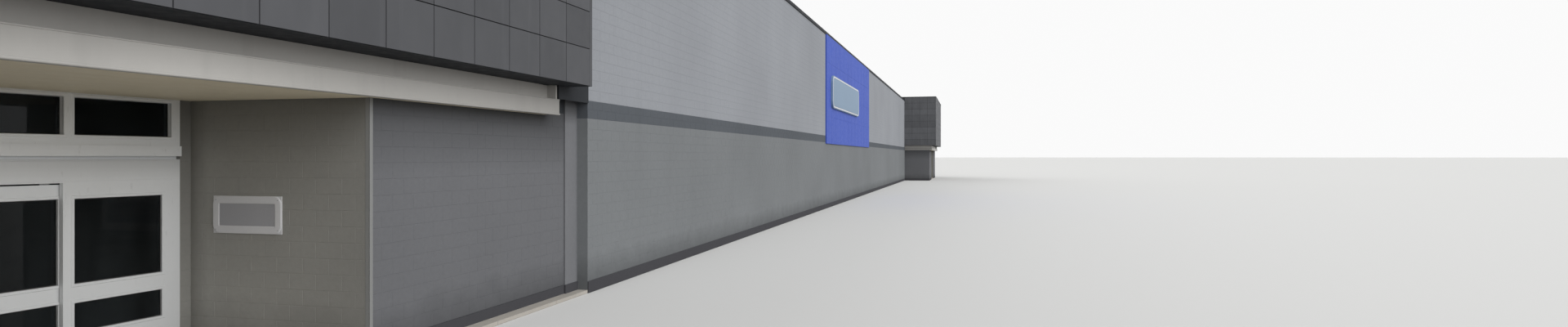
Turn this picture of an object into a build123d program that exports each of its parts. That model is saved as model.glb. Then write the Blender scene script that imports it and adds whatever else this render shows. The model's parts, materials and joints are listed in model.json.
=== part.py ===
"""A single-storey garden and home store as a 1:10 scale model, with two entrances in its front.

Millimetres of the model, so 100 is one metre of the real store. The front faces -Y and Z = 0 is
the ground. X = 0 and Y = 0 are the middle of the plan. The left entrance is a porch cut back into
the front wall. The right one is the same design pushed out in front of the wall. Each has a
sliding door set at the back of its porch, a pale canopy band, and a tower of dark panels above.
"""

import os

from build123d import *

# The plan.
END_RUN = 620.0  # front wall outside each entrance
MAIN_RUN = 7340.0  # front wall between the entrances
STORE_DEPTH = 6000.0
WALL = 30.0  # thickness of every block wall
PUSHED_OUT = 292.0  # how far the right entrance stands in front of the left one's place

# Heights above the ground.
SLAB = 6.0
LOWER_TOP = 331.0
STRIPE_TOP = 365.0
WALL_TOP = 882.0
ROOF_TOP = 800.0
ROOF_THICK = 25.0

# Trim on the walls.
COPING_SHEET = 3.0
COPING_LEG = 10.0
COPING_LIP = 4.0
BASE_HEIGHT = 22.0
BASE_THICK = 2.0

# The towers of square panels.
PANEL_WIDTH = 83.3
PANEL_COLUMNS = 17
PANEL_HEIGHT = 66.0
PANEL_ROWS = 8
PANEL_JOINT = 1.5
PANEL_THICK = 2.0
CORNER_LEG = 9.0  # legs of the angles on the front corners of the towers
TOWER_BOTTOM = 384.0
TOWER_PROUD = 47.0  # in front of the face that the entrance is set in
TOWER_PLATE = 6.0
TOWER_ROOF_DROP = 26.0
TOWER_ROOF_THICK = 6.0
TOWER_CAP_LIP = 2.0
TOWER_CAP_LEG = 5.0

# The porches, back from the same face.
OPENING_HALF = 790.0  # half the recess of the left entrance
BLOCK_HALF = 680.0  # half the width of the right entrance's walls, and of both canopy bands
FIELD_SETBACK = 25.0
PORCH_HALF = 264.0
DOOR_SETBACK = 305.0
CEILING_LOW = 333.0
CEILING_THICK = 5.0
BAND_LOW = 331.0
BAND_LEDGE = 359.0  # top of the fascia, which stands forward of the frieze over it
BAND_PROUD = 3.0
BAND_THICK = 5.0
FRIEZE_SETBACK = 18.0
REVEAL_SHEET = 6.0
POST_WIDTH = 45.0
POST_PROUD = 3.0  # in front of the field wall
HEAD_LOW = 360.0
HEAD_LAP = 12.0  # over the foot of the upper wall
HEAD_THICK = 2.0

# The door sets: two sliding leaves between two fixed sidelights.
BAY = 118.5
JAMB = 12.0
SET_DEPTH = 22.0
STILE = 12.0
LEAF_THICK = 5.0
RUNNING_GAP = 2.0
MEETING_GAP = 1.0
LEAF_LAP = 5.0
SILL = 1.0
PANEL_TOP = 55.0
LOWER_LIGHT_TOP = 88.0
UPPER_LIGHT_LOW = 111.0
UPPER_LIGHT_TOP = 209.0
GLASS = 1.2
GLASS_BITE = 1.5

# The operator header and what hangs in it.
HEADER_LOW = 228.0
HEADER_TOP = 255.0
HEADER_SHEET = 1.5
TRANSOM_LOW = 259.0
TRANSOM_LIGHT_LOW = 284.0
TRANSOM_LIGHT_TOP = 327.0
TRANSOM_DEPTH = 12.0
TRANSOM_NECK = 6.0
TRANSOM_SILL = 13.0
TRANSOM_SILL_PROUD = 3.0
HANGER_WIDTH = 10.0
HANGER_THICK = 2.0
HANGER_INSET = 24.0
HANGER_GAP = 1.0
WHEEL_RADIUS = 4.0
WHEEL_THICK = 2.5
WHEEL_GAP = 0.3
AXLE_RADIUS = 1.2
AXLE_STUB = 0.5
TRACK_HEIGHT = 3.0
TRACK_TOP = 238.0

# The panel and the blank sign on the front wall, and the plate in the porch.
COLOUR_PANEL_START = 2500.0  # along the main run
COLOUR_PANEL_LENGTH = 1680.0
COLOUR_PANEL_LOW = 325.0
COLOUR_PANEL_THICK = 6.0
CABINET_START = 120.0  # along the colour panel
CABINET_LENGTH = 960.0
CABINET_HEIGHT = 170.0
CABINET_MIDDLE = 595.0
CABINET_THICK = 12.0
CABINET_CORNER = 40.0
PLATE_LENGTH = 109.0
PLATE_HEIGHT = 49.0
PLATE_THICK = 1.2
PLATE_SETBACK = 157.0
PLATE_LOW = 158.0

# Worked out from the above.
TOWER_HALF = PANEL_COLUMNS * PANEL_WIDTH / 2 + CORNER_LEG
TOWER_PLATE_HALF = TOWER_HALF - PANEL_THICK
TOWER_TOP = TOWER_BOTTOM + PANEL_ROWS * PANEL_HEIGHT
LENGTH = 2 * END_RUN + 2 * OPENING_HALF + MAIN_RUN + 2 * BLOCK_HALF
LEFT_END = -LENGTH / 2
RIGHT_END = LENGTH / 2
LEFT_CENTRE = LEFT_END + END_RUN + OPENING_HALF
RIGHT_CENTRE = RIGHT_END - END_RUN - BLOCK_HALF
MAIN_START = LEFT_CENTRE + OPENING_HALF
FRONT_REACH = PUSHED_OUT + TOWER_PROUD + TOWER_CAP_LIP
REAR_REACH = STORE_DEPTH + COPING_LIP
FRONT = (FRONT_REACH - REAR_REACH) / 2  # the outer face of the front wall
REAR = FRONT + STORE_DEPTH
RIGHT_FRONT = FRONT - PUSHED_OUT
FRONT_RUNS = (
    (LEFT_END, LEFT_CENTRE - OPENING_HALF),
    (MAIN_START, MAIN_START + MAIN_RUN),
    (RIGHT_CENTRE + BLOCK_HALF, RIGHT_END),
)
UPPER_RUNS = (
    (LEFT_END, LEFT_CENTRE - TOWER_PLATE_HALF),
    (LEFT_CENTRE + TOWER_PLATE_HALF, RIGHT_CENTRE - TOWER_PLATE_HALF),
    (RIGHT_CENTRE + TOWER_PLATE_HALF, RIGHT_END),
)
SET_HALF = 2 * BAY + JAMB
FRAME_SILL = SLAB + SILL
LEAF_BOTTOM = FRAME_SILL + RUNNING_GAP
LEAF_TOP = HEADER_LOW - RUNNING_GAP
LEAF_SETBACK = DOOR_SETBACK + LEAF_THICK + RUNNING_GAP
HANGER_SETBACK = LEAF_SETBACK + (LEAF_THICK - HANGER_THICK) / 2
WHEEL_SETBACK = HANGER_SETBACK + HANGER_THICK + AXLE_STUB
WHEEL_HEIGHT = TRACK_TOP + WHEEL_GAP + WHEEL_RADIUS
LEAF_WIDTH = BAY + LEAF_LAP - MEETING_GAP / 2

# Each entrance: the X of its middle and the Y of the face that it is set in.
ENTRANCES = ((LEFT_CENTRE, FRONT), (RIGHT_CENTRE, RIGHT_FRONT))


def span(x_from, x_to, y_from, y_to, mode=Mode.ADD):
    """A rectangle between two corners, in the sketch that is being drawn."""
    with Locations(((x_from + x_to) / 2, (y_from + y_to) / 2)):
        Rectangle(abs(x_to - x_from), abs(y_to - y_from), mode=mode)


def at_height(z):
    return Plane.XY.offset(z)


def facing_front(y):
    """An upright plane at y, drawn in X and Z. A positive extrude runs towards the front."""
    return Plane.XZ.offset(-y)


def save(part, name):
    part.label = name
    export_step(part, f"parts/{name}.step")


# The floor, the roof and the walls.
def make_floor_slab():
    with BuildPart() as floor_slab:
        with BuildSketch():
            span(LEFT_END, RIGHT_END, FRONT, REAR)
            porch_front = RIGHT_FRONT + FIELD_SETBACK
            span(RIGHT_CENTRE - BLOCK_HALF, RIGHT_CENTRE + BLOCK_HALF, porch_front, FRONT)
        extrude(amount=SLAB)
    save(floor_slab.part, "floor_slab")


def make_roof_deck():
    with BuildPart() as roof_deck:
        with BuildSketch(at_height(ROOF_TOP - ROOF_THICK)):
            span(LEFT_END + WALL, RIGHT_END - WALL, FRONT + WALL, REAR - WALL)
        extrude(amount=ROOF_THICK)
    save(roof_deck.part, "roof_deck")


def make_plain_walls(part_of_wall, z_from, z_to):
    """The rear wall and the end walls between two heights."""
    with BuildPart() as rear_wall:
        with BuildSketch(at_height(z_from)):
            span(LEFT_END, RIGHT_END, REAR - WALL, REAR)
        extrude(amount=z_to - z_from)
    save(rear_wall.part, f"rear_wall_{part_of_wall}")
    with BuildPart() as end_walls:
        with BuildSketch(at_height(z_from)):
            span(LEFT_END, LEFT_END + WALL, FRONT + WALL, REAR - WALL)
            span(RIGHT_END - WALL, RIGHT_END, FRONT + WALL, REAR - WALL)
        extrude(amount=z_to - z_from)
    save(end_walls.part, f"end_walls_{part_of_wall}")


def make_front_wall_lower():
    with BuildPart() as front_wall_lower:
        with BuildSketch(at_height(SLAB)):
            for x_from, x_to in FRONT_RUNS:
                span(x_from, x_to, FRONT, FRONT + WALL)
        extrude(amount=LOWER_TOP - SLAB)
    save(front_wall_lower.part, "front_wall_lower")


def make_stripe():
    """One course of darker block all round, between the lower and the upper wall."""
    with BuildPart() as stripe_front_rear:
        with BuildSketch(at_height(LOWER_TOP)):
            for x_from, x_to in FRONT_RUNS:
                span(x_from, x_to, FRONT, FRONT + WALL)
            span(LEFT_END, RIGHT_END, REAR - WALL, REAR)
        extrude(amount=STRIPE_TOP - LOWER_TOP)
    save(stripe_front_rear.part, "stripe_front_rear")
    with BuildPart() as stripe_ends:
        with BuildSketch(at_height(LOWER_TOP)):
            span(LEFT_END, LEFT_END + WALL, FRONT + WALL, REAR - WALL)
            span(RIGHT_END - WALL, RIGHT_END, FRONT + WALL, REAR - WALL)
        extrude(amount=STRIPE_TOP - LOWER_TOP)
    save(stripe_ends.part, "stripe_ends")


def make_front_wall_upper():
    """The smooth upper wall, drawn from the front, with the heads of both entrances cut out."""
    with BuildPart() as front_wall_upper:
        with BuildSketch(facing_front(FRONT + WALL)):
            for x_from, x_to in UPPER_RUNS:
                span(x_from, x_to, STRIPE_TOP, WALL_TOP)
            for centre, half in ((LEFT_CENTRE, OPENING_HALF), (RIGHT_CENTRE, BLOCK_HALF)):
                span(centre - half, centre + half, STRIPE_TOP, TOWER_BOTTOM, Mode.SUBTRACT)
        extrude(amount=WALL)
    save(front_wall_upper.part, "front_wall_upper")


# Sheet metal along the tops and the feet of the walls.
def coping_section(outer, inner):
    """A cap over a wall top from outer to inner, with a leg down each face."""
    span(outer - COPING_LIP, inner + COPING_LIP, WALL_TOP - COPING_LEG, WALL_TOP + COPING_SHEET)
    span(outer, inner, WALL_TOP - COPING_LEG, WALL_TOP, Mode.SUBTRACT)


def make_copings():
    ends = ((LEFT_END, LEFT_END + WALL), (RIGHT_END - WALL, RIGHT_END))
    first_start = LEFT_END - COPING_LIP
    last_end = RIGHT_END + COPING_LIP
    runs = (
        (first_start, LEFT_CENTRE - TOWER_HALF),
        (LEFT_CENTRE + TOWER_HALF, RIGHT_CENTRE - TOWER_HALF),
        (RIGHT_CENTRE + TOWER_HALF, last_end),
    )
    with BuildPart() as coping_front_rear:
        for x_from, x_to in runs:
            with BuildSketch(Plane.YZ.offset(x_from)):
                coping_section(FRONT, FRONT + WALL)
            extrude(amount=x_to - x_from)
        with BuildSketch(Plane.YZ.offset(first_start)):
            coping_section(REAR - WALL, REAR)
        extrude(amount=last_end - first_start)
        # The end walls pass in under the long copings, so the legs there are cut away.
        for x_from, x_to in ends:
            with BuildSketch(at_height(WALL_TOP - COPING_LEG)):
                span(x_from, x_to, FRONT + WALL, FRONT + WALL + COPING_LIP)
                span(x_from, x_to, REAR - WALL - COPING_LIP, REAR - WALL)
            extrude(amount=COPING_LEG, mode=Mode.SUBTRACT)
        # The outer leg goes round each corner, to where the end coping starts.
        with BuildSketch(at_height(WALL_TOP - COPING_LEG)):
            for x_from, x_to in ((first_start, LEFT_END), (RIGHT_END, last_end)):
                span(x_from, x_to, FRONT, FRONT + WALL + COPING_LIP)
                span(x_from, x_to, REAR - WALL - COPING_LIP, REAR)
        extrude(amount=COPING_LEG)
    save(coping_front_rear.part, "coping_front_rear")

    start = FRONT + WALL + COPING_LIP
    end = REAR - WALL - COPING_LIP
    with BuildPart() as coping_ends:
        for outer, inner in ends:
            with BuildSketch(facing_front(end)):
                coping_section(outer, inner)
            extrude(amount=end - start)
    save(coping_ends.part, "coping_ends")


def make_base_strips():
    side_from = RIGHT_FRONT + FIELD_SETBACK
    with BuildPart() as base_front_rear:
        with BuildSketch():
            for x_from, x_to in FRONT_RUNS:
                span(x_from, x_to, FRONT - BASE_THICK, FRONT)
            for side in (-1, 1):
                corner = RIGHT_CENTRE + side * (BLOCK_HALF + BASE_THICK)
                span(RIGHT_CENTRE + side * PORCH_HALF, corner, side_from - BASE_THICK, side_from)
            span(LEFT_END, RIGHT_END, REAR, REAR + BASE_THICK)
        extrude(amount=BASE_HEIGHT)
        # At the left entrance the floor runs on in front of the walls, and the strip goes
        # round the posts.
        with BuildSketch(at_height(SLAB)):
            wall_face = FRONT + FIELD_SETBACK
            post_face = wall_face - POST_PROUD
            for side in (-1, 1):
                post_side = LEFT_CENTRE + side * (OPENING_HALF - POST_WIDTH)
                strip_end = post_side - side * BASE_THICK
                span(LEFT_CENTRE + side * PORCH_HALF, post_side, wall_face - BASE_THICK, wall_face)
                span(strip_end, post_side, post_face, wall_face)
                span(strip_end, LEFT_CENTRE + side * OPENING_HALF, post_face - BASE_THICK, post_face)
        extrude(amount=BASE_HEIGHT - SLAB)
    save(base_front_rear.part, "base_strip_front_rear")
    with BuildPart() as base_ends:
        with BuildSketch():
            span(LEFT_END - BASE_THICK, LEFT_END, FRONT - BASE_THICK, REAR + BASE_THICK)
            span(RIGHT_END, RIGHT_END + BASE_THICK, FRONT - BASE_THICK, REAR + BASE_THICK)
            for side in (-1, 1):
                wall_face = RIGHT_CENTRE + side * BLOCK_HALF
                span(wall_face, wall_face + side * BASE_THICK, side_from, FRONT - BASE_THICK)
        extrude(amount=BASE_HEIGHT)
    save(base_ends.part, "base_strip_ends")


# What is fixed to the front wall.
def make_colour_panel():
    start = MAIN_START + COLOUR_PANEL_START
    with BuildPart() as colour_panel:
        with BuildSketch(facing_front(FRONT)):
            span(start, start + COLOUR_PANEL_LENGTH, COLOUR_PANEL_LOW, WALL_TOP - COPING_LEG)
        extrude(amount=COLOUR_PANEL_THICK)
    save(colour_panel.part, "blue_wall_panel")

    with BuildPart() as sign_cabinet:
        with BuildSketch(facing_front(FRONT - COLOUR_PANEL_THICK)):
            with Locations((start + CABINET_START + CABINET_LENGTH / 2, CABINET_MIDDLE)):
                RectangleRounded(CABINET_LENGTH, CABINET_HEIGHT, CABINET_CORNER)
        extrude(amount=CABINET_THICK)
        face = sign_cabinet.faces().sort_by(Axis.Y)[0]
        fillet(face.edges(), radius=CABINET_THICK / 4)
    save(sign_cabinet.part, "blank_sign_cabinet")


# The walls of both entrances.
def make_entrance_walls():
    outer_halves = (OPENING_HALF, BLOCK_HALF)
    with BuildPart() as field_walls:
        with BuildSketch(at_height(SLAB)):
            for (centre, face), outer in zip(ENTRANCES, outer_halves):
                y_from = face + FIELD_SETBACK
                for side in (-1, 1):
                    span(
                        centre + side * PORCH_HALF,
                        centre + side * outer,
                        y_from,
                        y_from + WALL,
                    )
        extrude(amount=CEILING_LOW - SLAB)
        # Beside the left canopy band the walls rise to the top of the ceiling.
        with BuildSketch(at_height(CEILING_LOW)):
            y_from = FRONT + FIELD_SETBACK
            for side in (-1, 1):
                band_side = LEFT_CENTRE + side * (BLOCK_HALF - BAND_THICK)
                wall_end = LEFT_CENTRE + side * OPENING_HALF
                span(band_side, wall_end, y_from, y_from + WALL)
        extrude(amount=CEILING_THICK)
    save(field_walls.part, "entrance_front_walls")

    with BuildPart() as porch_walls:
        with BuildSketch(at_height(SLAB)):
            for centre, face in ENTRANCES:
                for side in (-1, 1):
                    inner = centre + side * PORCH_HALF
                    span(
                        inner,
                        inner + side * WALL,
                        face + FIELD_SETBACK + WALL,
                        face + DOOR_SETBACK + WALL,
                    )
        extrude(amount=CEILING_LOW - SLAB)
    save(porch_walls.part, "porch_side_walls")

    with BuildPart() as side_walls:
        with BuildSketch(at_height(SLAB)):
            for side in (-1, 1):
                outer = RIGHT_CENTRE + side * BLOCK_HALF
                span(
                    outer,
                    outer - side * WALL,
                    RIGHT_FRONT + FIELD_SETBACK + WALL,
                    FRONT + WALL,
                )
        extrude(amount=CEILING_LOW - SLAB)
    save(side_walls.part, "right_entrance_side_walls")


def make_porch_ceilings():
    with BuildPart() as porch_ceilings:
        with BuildSketch(at_height(CEILING_LOW)):
            strip_half = BLOCK_HALF - BAND_THICK
            porch_half = PORCH_HALF + WALL
            for centre, face in ENTRANCES:
                band_back = face - BAND_PROUD + BAND_THICK
                wall_back = face + FIELD_SETBACK + WALL
                span(centre - strip_half, centre + strip_half, band_back, wall_back)
                span(
                    centre - porch_half,
                    centre + porch_half,
                    wall_back,
                    face + DOOR_SETBACK + WALL,
                )
        extrude(amount=CEILING_THICK)
    save(porch_ceilings.part, "porch_ceilings")


def draw_turned_back(centre, half, front, back, width):
    """A strip across a front with both its ends turned back, in the sketch that is being drawn."""
    inner = half - width
    span(centre - half, centre + half, front, back)
    span(centre - inner, centre + inner, front + width, back, Mode.SUBTRACT)


def make_canopy_bands():
    """A pale band across each entrance: a fascia, the ledge on it, and a frieze set back."""
    backs = (FRONT + FIELD_SETBACK, FRONT)
    ledge_width = BAND_PROUD + FRIEZE_SETBACK + BAND_THICK
    frieze_half = BLOCK_HALF - BAND_PROUD - FRIEZE_SETBACK
    with BuildPart() as canopy_bands:
        with BuildSketch(at_height(BAND_LOW)):
            for centre, face in ENTRANCES:
                front = face - BAND_PROUD
                span(centre - BLOCK_HALF, centre + BLOCK_HALF, front, front + BAND_THICK)
        extrude(amount=CEILING_LOW - BAND_LOW)
        with BuildSketch(at_height(CEILING_LOW)):
            for (centre, face), back in zip(ENTRANCES, backs):
                draw_turned_back(centre, BLOCK_HALF, face - BAND_PROUD, back, BAND_THICK)
        extrude(amount=BAND_LEDGE - CEILING_LOW)
        with BuildSketch(at_height(BAND_LEDGE - BAND_THICK)):
            for (centre, face), back in zip(ENTRANCES, backs):
                draw_turned_back(centre, BLOCK_HALF, face - BAND_PROUD, back, ledge_width)
        extrude(amount=BAND_THICK)
        with BuildSketch(at_height(BAND_LEDGE)):
            for (centre, face), back in zip(ENTRANCES, backs):
                draw_turned_back(centre, frieze_half, face + FRIEZE_SETBACK, back, BAND_THICK)
        extrude(amount=TOWER_BOTTOM - BAND_LEDGE)
    save(canopy_bands.part, "canopy_bands")


def make_reveals():
    """The dark lining behind both bands, and what closes the recess beside the left one."""
    low = CEILING_LOW + CEILING_THICK
    inside_band = BLOCK_HALF - BAND_PROUD - FRIEZE_SETBACK - BAND_THICK
    with BuildPart() as reveal_backs:
        for (centre, face), half in zip(ENTRANCES, (OPENING_HALF, inside_band)):
            with BuildSketch(facing_front(face + FIELD_SETBACK + REVEAL_SHEET)):
                span(centre - half, centre + half, low, TOWER_BOTTOM)
            extrude(amount=REVEAL_SHEET)
        # A head over each end of the recess, lapped on the foot of the upper wall.
        with BuildSketch(facing_front(FRONT)):
            for side in (-1, 1):
                end = LEFT_CENTRE + side * OPENING_HALF
                span(LEFT_CENTRE + side * BLOCK_HALF, end, HEAD_LOW, TOWER_BOTTOM)
                span(LEFT_CENTRE + side * TOWER_HALF, end, TOWER_BOTTOM, TOWER_BOTTOM + HEAD_LAP)
        extrude(amount=HEAD_THICK)
        # The wall is open behind the right tower, so a closer stands beside each end of the frieze.
        with BuildSketch(facing_front(FRONT + REVEAL_SHEET)):
            for side in (-1, 1):
                ledge_end = RIGHT_CENTRE + side * BLOCK_HALF
                start = RIGHT_CENTRE + side * inside_band
                span(start, ledge_end, BAND_LEDGE, TOWER_BOTTOM)
                span(ledge_end, RIGHT_CENTRE + side * TOWER_PLATE_HALF, STRIPE_TOP, TOWER_BOTTOM)
        extrude(amount=REVEAL_SHEET)
    save(reveal_backs.part, "reveal_back_panels")

    with BuildPart() as reveal_posts:
        with BuildSketch(at_height(SLAB)):
            wall_face = FRONT + FIELD_SETBACK
            for side in (-1, 1):
                end = LEFT_CENTRE + side * OPENING_HALF
                span(end, end - side * POST_WIDTH, wall_face - POST_PROUD, wall_face)
        extrude(amount=TOWER_BOTTOM - SLAB)
    save(reveal_posts.part, "reveal_posts")


# The towers over the entrances.
def make_towers():
    """Plates round a hollow box, a soffit under it, a low roof inside, panels and a cap."""
    half = TOWER_PLATE_HALF
    back = FRONT + WALL
    plate_low = TOWER_BOTTOM + TOWER_PLATE
    plate_rise = TOWER_TOP - plate_low
    fronts = [face - TOWER_PROUD + PANEL_THICK for _, face in ENTRANCES]

    with BuildPart() as tower_long_plates:
        with BuildSketch(at_height(plate_low)):
            for (centre, _), front in zip(ENTRANCES, fronts):
                span(centre - half, centre + half, front, front + TOWER_PLATE)
                span(centre - half, centre + half, back - TOWER_PLATE, back)
        extrude(amount=plate_rise)
    save(tower_long_plates.part, "tower_front_back_plates")

    with BuildPart() as tower_end_plates:
        with BuildSketch(at_height(plate_low)):
            for (centre, _), front in zip(ENTRANCES, fronts):
                for side in (-1, 1):
                    end = centre + side * half
                    span(end, end - side * TOWER_PLATE, front + TOWER_PLATE, back - TOWER_PLATE)
        extrude(amount=plate_rise)
    save(tower_end_plates.part, "tower_end_plates")

    with BuildPart() as tower_soffits:
        with BuildSketch(at_height(TOWER_BOTTOM)):
            for (centre, _), front in zip(ENTRANCES, fronts):
                span(centre - half, centre + half, front, back)
        extrude(amount=TOWER_PLATE)
    save(tower_soffits.part, "tower_soffits")

    with BuildPart() as tower_roofs:
        with BuildSketch(at_height(TOWER_TOP - TOWER_ROOF_DROP)):
            inner = half - TOWER_PLATE
            for (centre, _), front in zip(ENTRANCES, fronts):
                span(centre - inner, centre + inner, front + TOWER_PLATE, back - TOWER_PLATE)
        extrude(amount=TOWER_ROOF_THICK)
    save(tower_roofs.part, "tower_roofs")


def make_tower_panels():
    with BuildPart() as tower_front_panels:
        for centre, face in ENTRANCES:
            plane = facing_front(face - TOWER_PROUD + PANEL_THICK)
            middle = TOWER_BOTTOM + PANEL_ROWS * PANEL_HEIGHT / 2
            with BuildSketch(plane):
                with Locations((centre, middle)):
                    with GridLocations(PANEL_WIDTH, PANEL_HEIGHT, PANEL_COLUMNS, PANEL_ROWS):
                        Rectangle(PANEL_WIDTH - PANEL_JOINT, PANEL_HEIGHT - PANEL_JOINT)
            extrude(amount=PANEL_THICK)
        with BuildSketch(at_height(TOWER_BOTTOM)):
            for centre, face in ENTRANCES:
                front = face - TOWER_PROUD
                for side in (-1, 1):
                    corner = centre + side * TOWER_HALF
                    leg_end = corner - side * CORNER_LEG
                    span(corner, leg_end, front, front + CORNER_LEG)
                    span(
                        corner - side * PANEL_THICK,
                        leg_end,
                        front + PANEL_THICK,
                        front + CORNER_LEG,
                        Mode.SUBTRACT,
                    )
        extrude(amount=TOWER_TOP - TOWER_BOTTOM)
    save(tower_front_panels.part, "tower_front_panels")

    with BuildPart() as tower_side_panels:
        for centre, face in ENTRANCES:
            front = face - TOWER_PROUD + CORNER_LEG
            depth = FRONT - front
            columns = max(1, round(depth / PANEL_WIDTH))
            pitch = depth / columns
            middle = TOWER_BOTTOM + PANEL_ROWS * PANEL_HEIGHT / 2
            for side in (-1, 1):
                plane = Plane.YZ.offset(centre + side * TOWER_PLATE_HALF)
                with BuildSketch(plane):
                    with Locations(((front + FRONT) / 2, middle)):
                        with GridLocations(pitch, PANEL_HEIGHT, columns, PANEL_ROWS):
                            Rectangle(pitch - PANEL_JOINT, PANEL_HEIGHT - PANEL_JOINT)
                extrude(amount=side * PANEL_THICK)
    save(tower_side_panels.part, "tower_side_panels")


def make_tower_caps():
    half = TOWER_PLATE_HALF
    back = FRONT + WALL
    with BuildPart() as tower_caps:
        for centre, face in ENTRANCES:
            front = face - TOWER_PROUD + PANEL_THICK
            with BuildSketch(at_height(TOWER_TOP - TOWER_CAP_LEG)):
                span(
                    centre - half - PANEL_THICK - TOWER_CAP_LIP,
                    centre + half + PANEL_THICK + TOWER_CAP_LIP,
                    front - PANEL_THICK - TOWER_CAP_LIP,
                    back + TOWER_CAP_LIP,
                )
                inner = half - TOWER_PLATE - TOWER_CAP_LIP
                span(
                    centre - inner,
                    centre + inner,
                    front + TOWER_PLATE + TOWER_CAP_LIP,
                    back - TOWER_PLATE - TOWER_CAP_LIP,
                    Mode.SUBTRACT,
                )
            extrude(amount=TOWER_CAP_LEG + COPING_SHEET)
        for centre, face in ENTRANCES:
            front = face - TOWER_PROUD + PANEL_THICK
            with BuildSketch(at_height(TOWER_TOP - TOWER_CAP_LEG)):
                span(
                    centre - half - PANEL_THICK,
                    centre + half + PANEL_THICK,
                    front - PANEL_THICK,
                    back,
                )
                inner = half - TOWER_PLATE
                span(
                    centre - inner,
                    centre + inner,
                    front + TOWER_PLATE,
                    back - TOWER_PLATE,
                    Mode.SUBTRACT,
                )
            extrude(amount=TOWER_CAP_LEG, mode=Mode.SUBTRACT)
    save(tower_caps.part, "tower_caps")


# The door sets.
def make_door_surrounds():
    with BuildPart() as door_piers:
        with BuildSketch(at_height(SLAB)):
            for centre, face in ENTRANCES:
                y_from = face + DOOR_SETBACK
                for side in (-1, 1):
                    span(
                        centre + side * SET_HALF,
                        centre + side * PORCH_HALF,
                        y_from,
                        y_from + WALL,
                    )
        extrude(amount=CEILING_LOW - SLAB)
    save(door_piers.part, "door_piers")

    with BuildPart() as door_jambs:
        with BuildSketch(at_height(SLAB)):
            for centre, face in ENTRANCES:
                y_from = face + DOOR_SETBACK
                for side in (-1, 1):
                    span(
                        centre + side * 2 * BAY,
                        centre + side * SET_HALF,
                        y_from,
                        y_from + SET_DEPTH,
                    )
        extrude(amount=HEADER_LOW - SLAB)
    save(door_jambs.part, "door_jambs")

    with BuildPart() as thresholds:
        with BuildSketch(at_height(SLAB)):
            for centre, face in ENTRANCES:
                y_from = face + DOOR_SETBACK
                span(centre - 2 * BAY, centre + 2 * BAY, y_from, y_from + SET_DEPTH)
        extrude(amount=SILL)
    save(thresholds.part, "door_thresholds")


def make_headers():
    """The hollow operator header, slotted below for the hangers, and the track in it."""
    with BuildPart() as headers:
        for centre, face in ENTRANCES:
            y_from = face + DOOR_SETBACK
            slot_from = face + HANGER_SETBACK - HANGER_GAP
            with BuildSketch(Plane.YZ.offset(centre - SET_HALF)):
                span(y_from, y_from + SET_DEPTH, HEADER_LOW, HEADER_TOP)
            extrude(amount=2 * SET_HALF)
            with BuildSketch(Plane.YZ.offset(centre - 2 * BAY)):
                span(
                    y_from + HEADER_SHEET,
                    y_from + SET_DEPTH - HEADER_SHEET,
                    HEADER_LOW + HEADER_SHEET,
                    HEADER_TOP - HEADER_SHEET,
                )
                span(
                    slot_from,
                    slot_from + HANGER_THICK + 2 * HANGER_GAP,
                    HEADER_LOW,
                    HEADER_LOW + HEADER_SHEET,
                )
            extrude(amount=4 * BAY, mode=Mode.SUBTRACT)
    save(headers.part, "door_headers")

    with BuildPart() as tracks:
        for centre, face in ENTRANCES:
            with BuildSketch(Plane.YZ.offset(centre - 2 * BAY)):
                span(
                    face + WHEEL_SETBACK,
                    face + DOOR_SETBACK + SET_DEPTH - HEADER_SHEET,
                    TRACK_TOP - TRACK_HEIGHT,
                    TRACK_TOP,
                )
            extrude(amount=4 * BAY)
    save(tracks.part, "door_tracks")


def make_transoms():
    with BuildPart() as transom_frames:
        for centre, face in ENTRANCES:
            with BuildSketch(facing_front(face + DOOR_SETBACK + TRANSOM_DEPTH)):
                span(centre - SET_HALF, centre + SET_HALF, TRANSOM_LOW, CEILING_LOW)
                for x_from, x_to in transom_lights(centre):
                    span(x_from, x_to, TRANSOM_LIGHT_LOW, TRANSOM_LIGHT_TOP, Mode.SUBTRACT)
            extrude(amount=TRANSOM_DEPTH)
            with BuildSketch(facing_front(face + DOOR_SETBACK + TRANSOM_DEPTH)):
                span(centre - SET_HALF, centre + SET_HALF, HEADER_TOP, TRANSOM_LOW)
            extrude(amount=TRANSOM_NECK)
            with BuildSketch(facing_front(face + DOOR_SETBACK)):
                span(
                    centre - SET_HALF,
                    centre + SET_HALF,
                    TRANSOM_LOW,
                    TRANSOM_LOW + TRANSOM_SILL,
                )
            extrude(amount=TRANSOM_SILL_PROUD)
            with BuildSketch(facing_front(transom_glass_back(face))):
                for x_from, x_to in transom_lights(centre):
                    bitten_light(x_from, x_to, TRANSOM_LIGHT_LOW, TRANSOM_LIGHT_TOP)
            extrude(amount=GLASS, mode=Mode.SUBTRACT)
    save(transom_frames.part, "transom_frames")

    with BuildPart() as transom_glass:
        for centre, face in ENTRANCES:
            with BuildSketch(facing_front(transom_glass_back(face))):
                for x_from, x_to in transom_lights(centre):
                    bitten_light(x_from, x_to, TRANSOM_LIGHT_LOW, TRANSOM_LIGHT_TOP)
            extrude(amount=GLASS)
    save(transom_glass.part, "transom_glass")


def transom_lights(centre):
    """The left and right edges of the three panes over the doors."""
    edge = 2 * BAY
    bar = BAY - STILE / 2
    far_bar = BAY + STILE / 2
    return (
        (centre - edge, centre - far_bar),
        (centre - bar, centre + bar),
        (centre + far_bar, centre + edge),
    )


def transom_glass_back(face):
    return face + DOOR_SETBACK + (TRANSOM_DEPTH + GLASS) / 2


def bitten_light(x_from, x_to, z_from, z_to):
    """A pane, larger than its light by the bite all round."""
    span(x_from - GLASS_BITE, x_to + GLASS_BITE, z_from - GLASS_BITE, z_to + GLASS_BITE)


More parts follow.
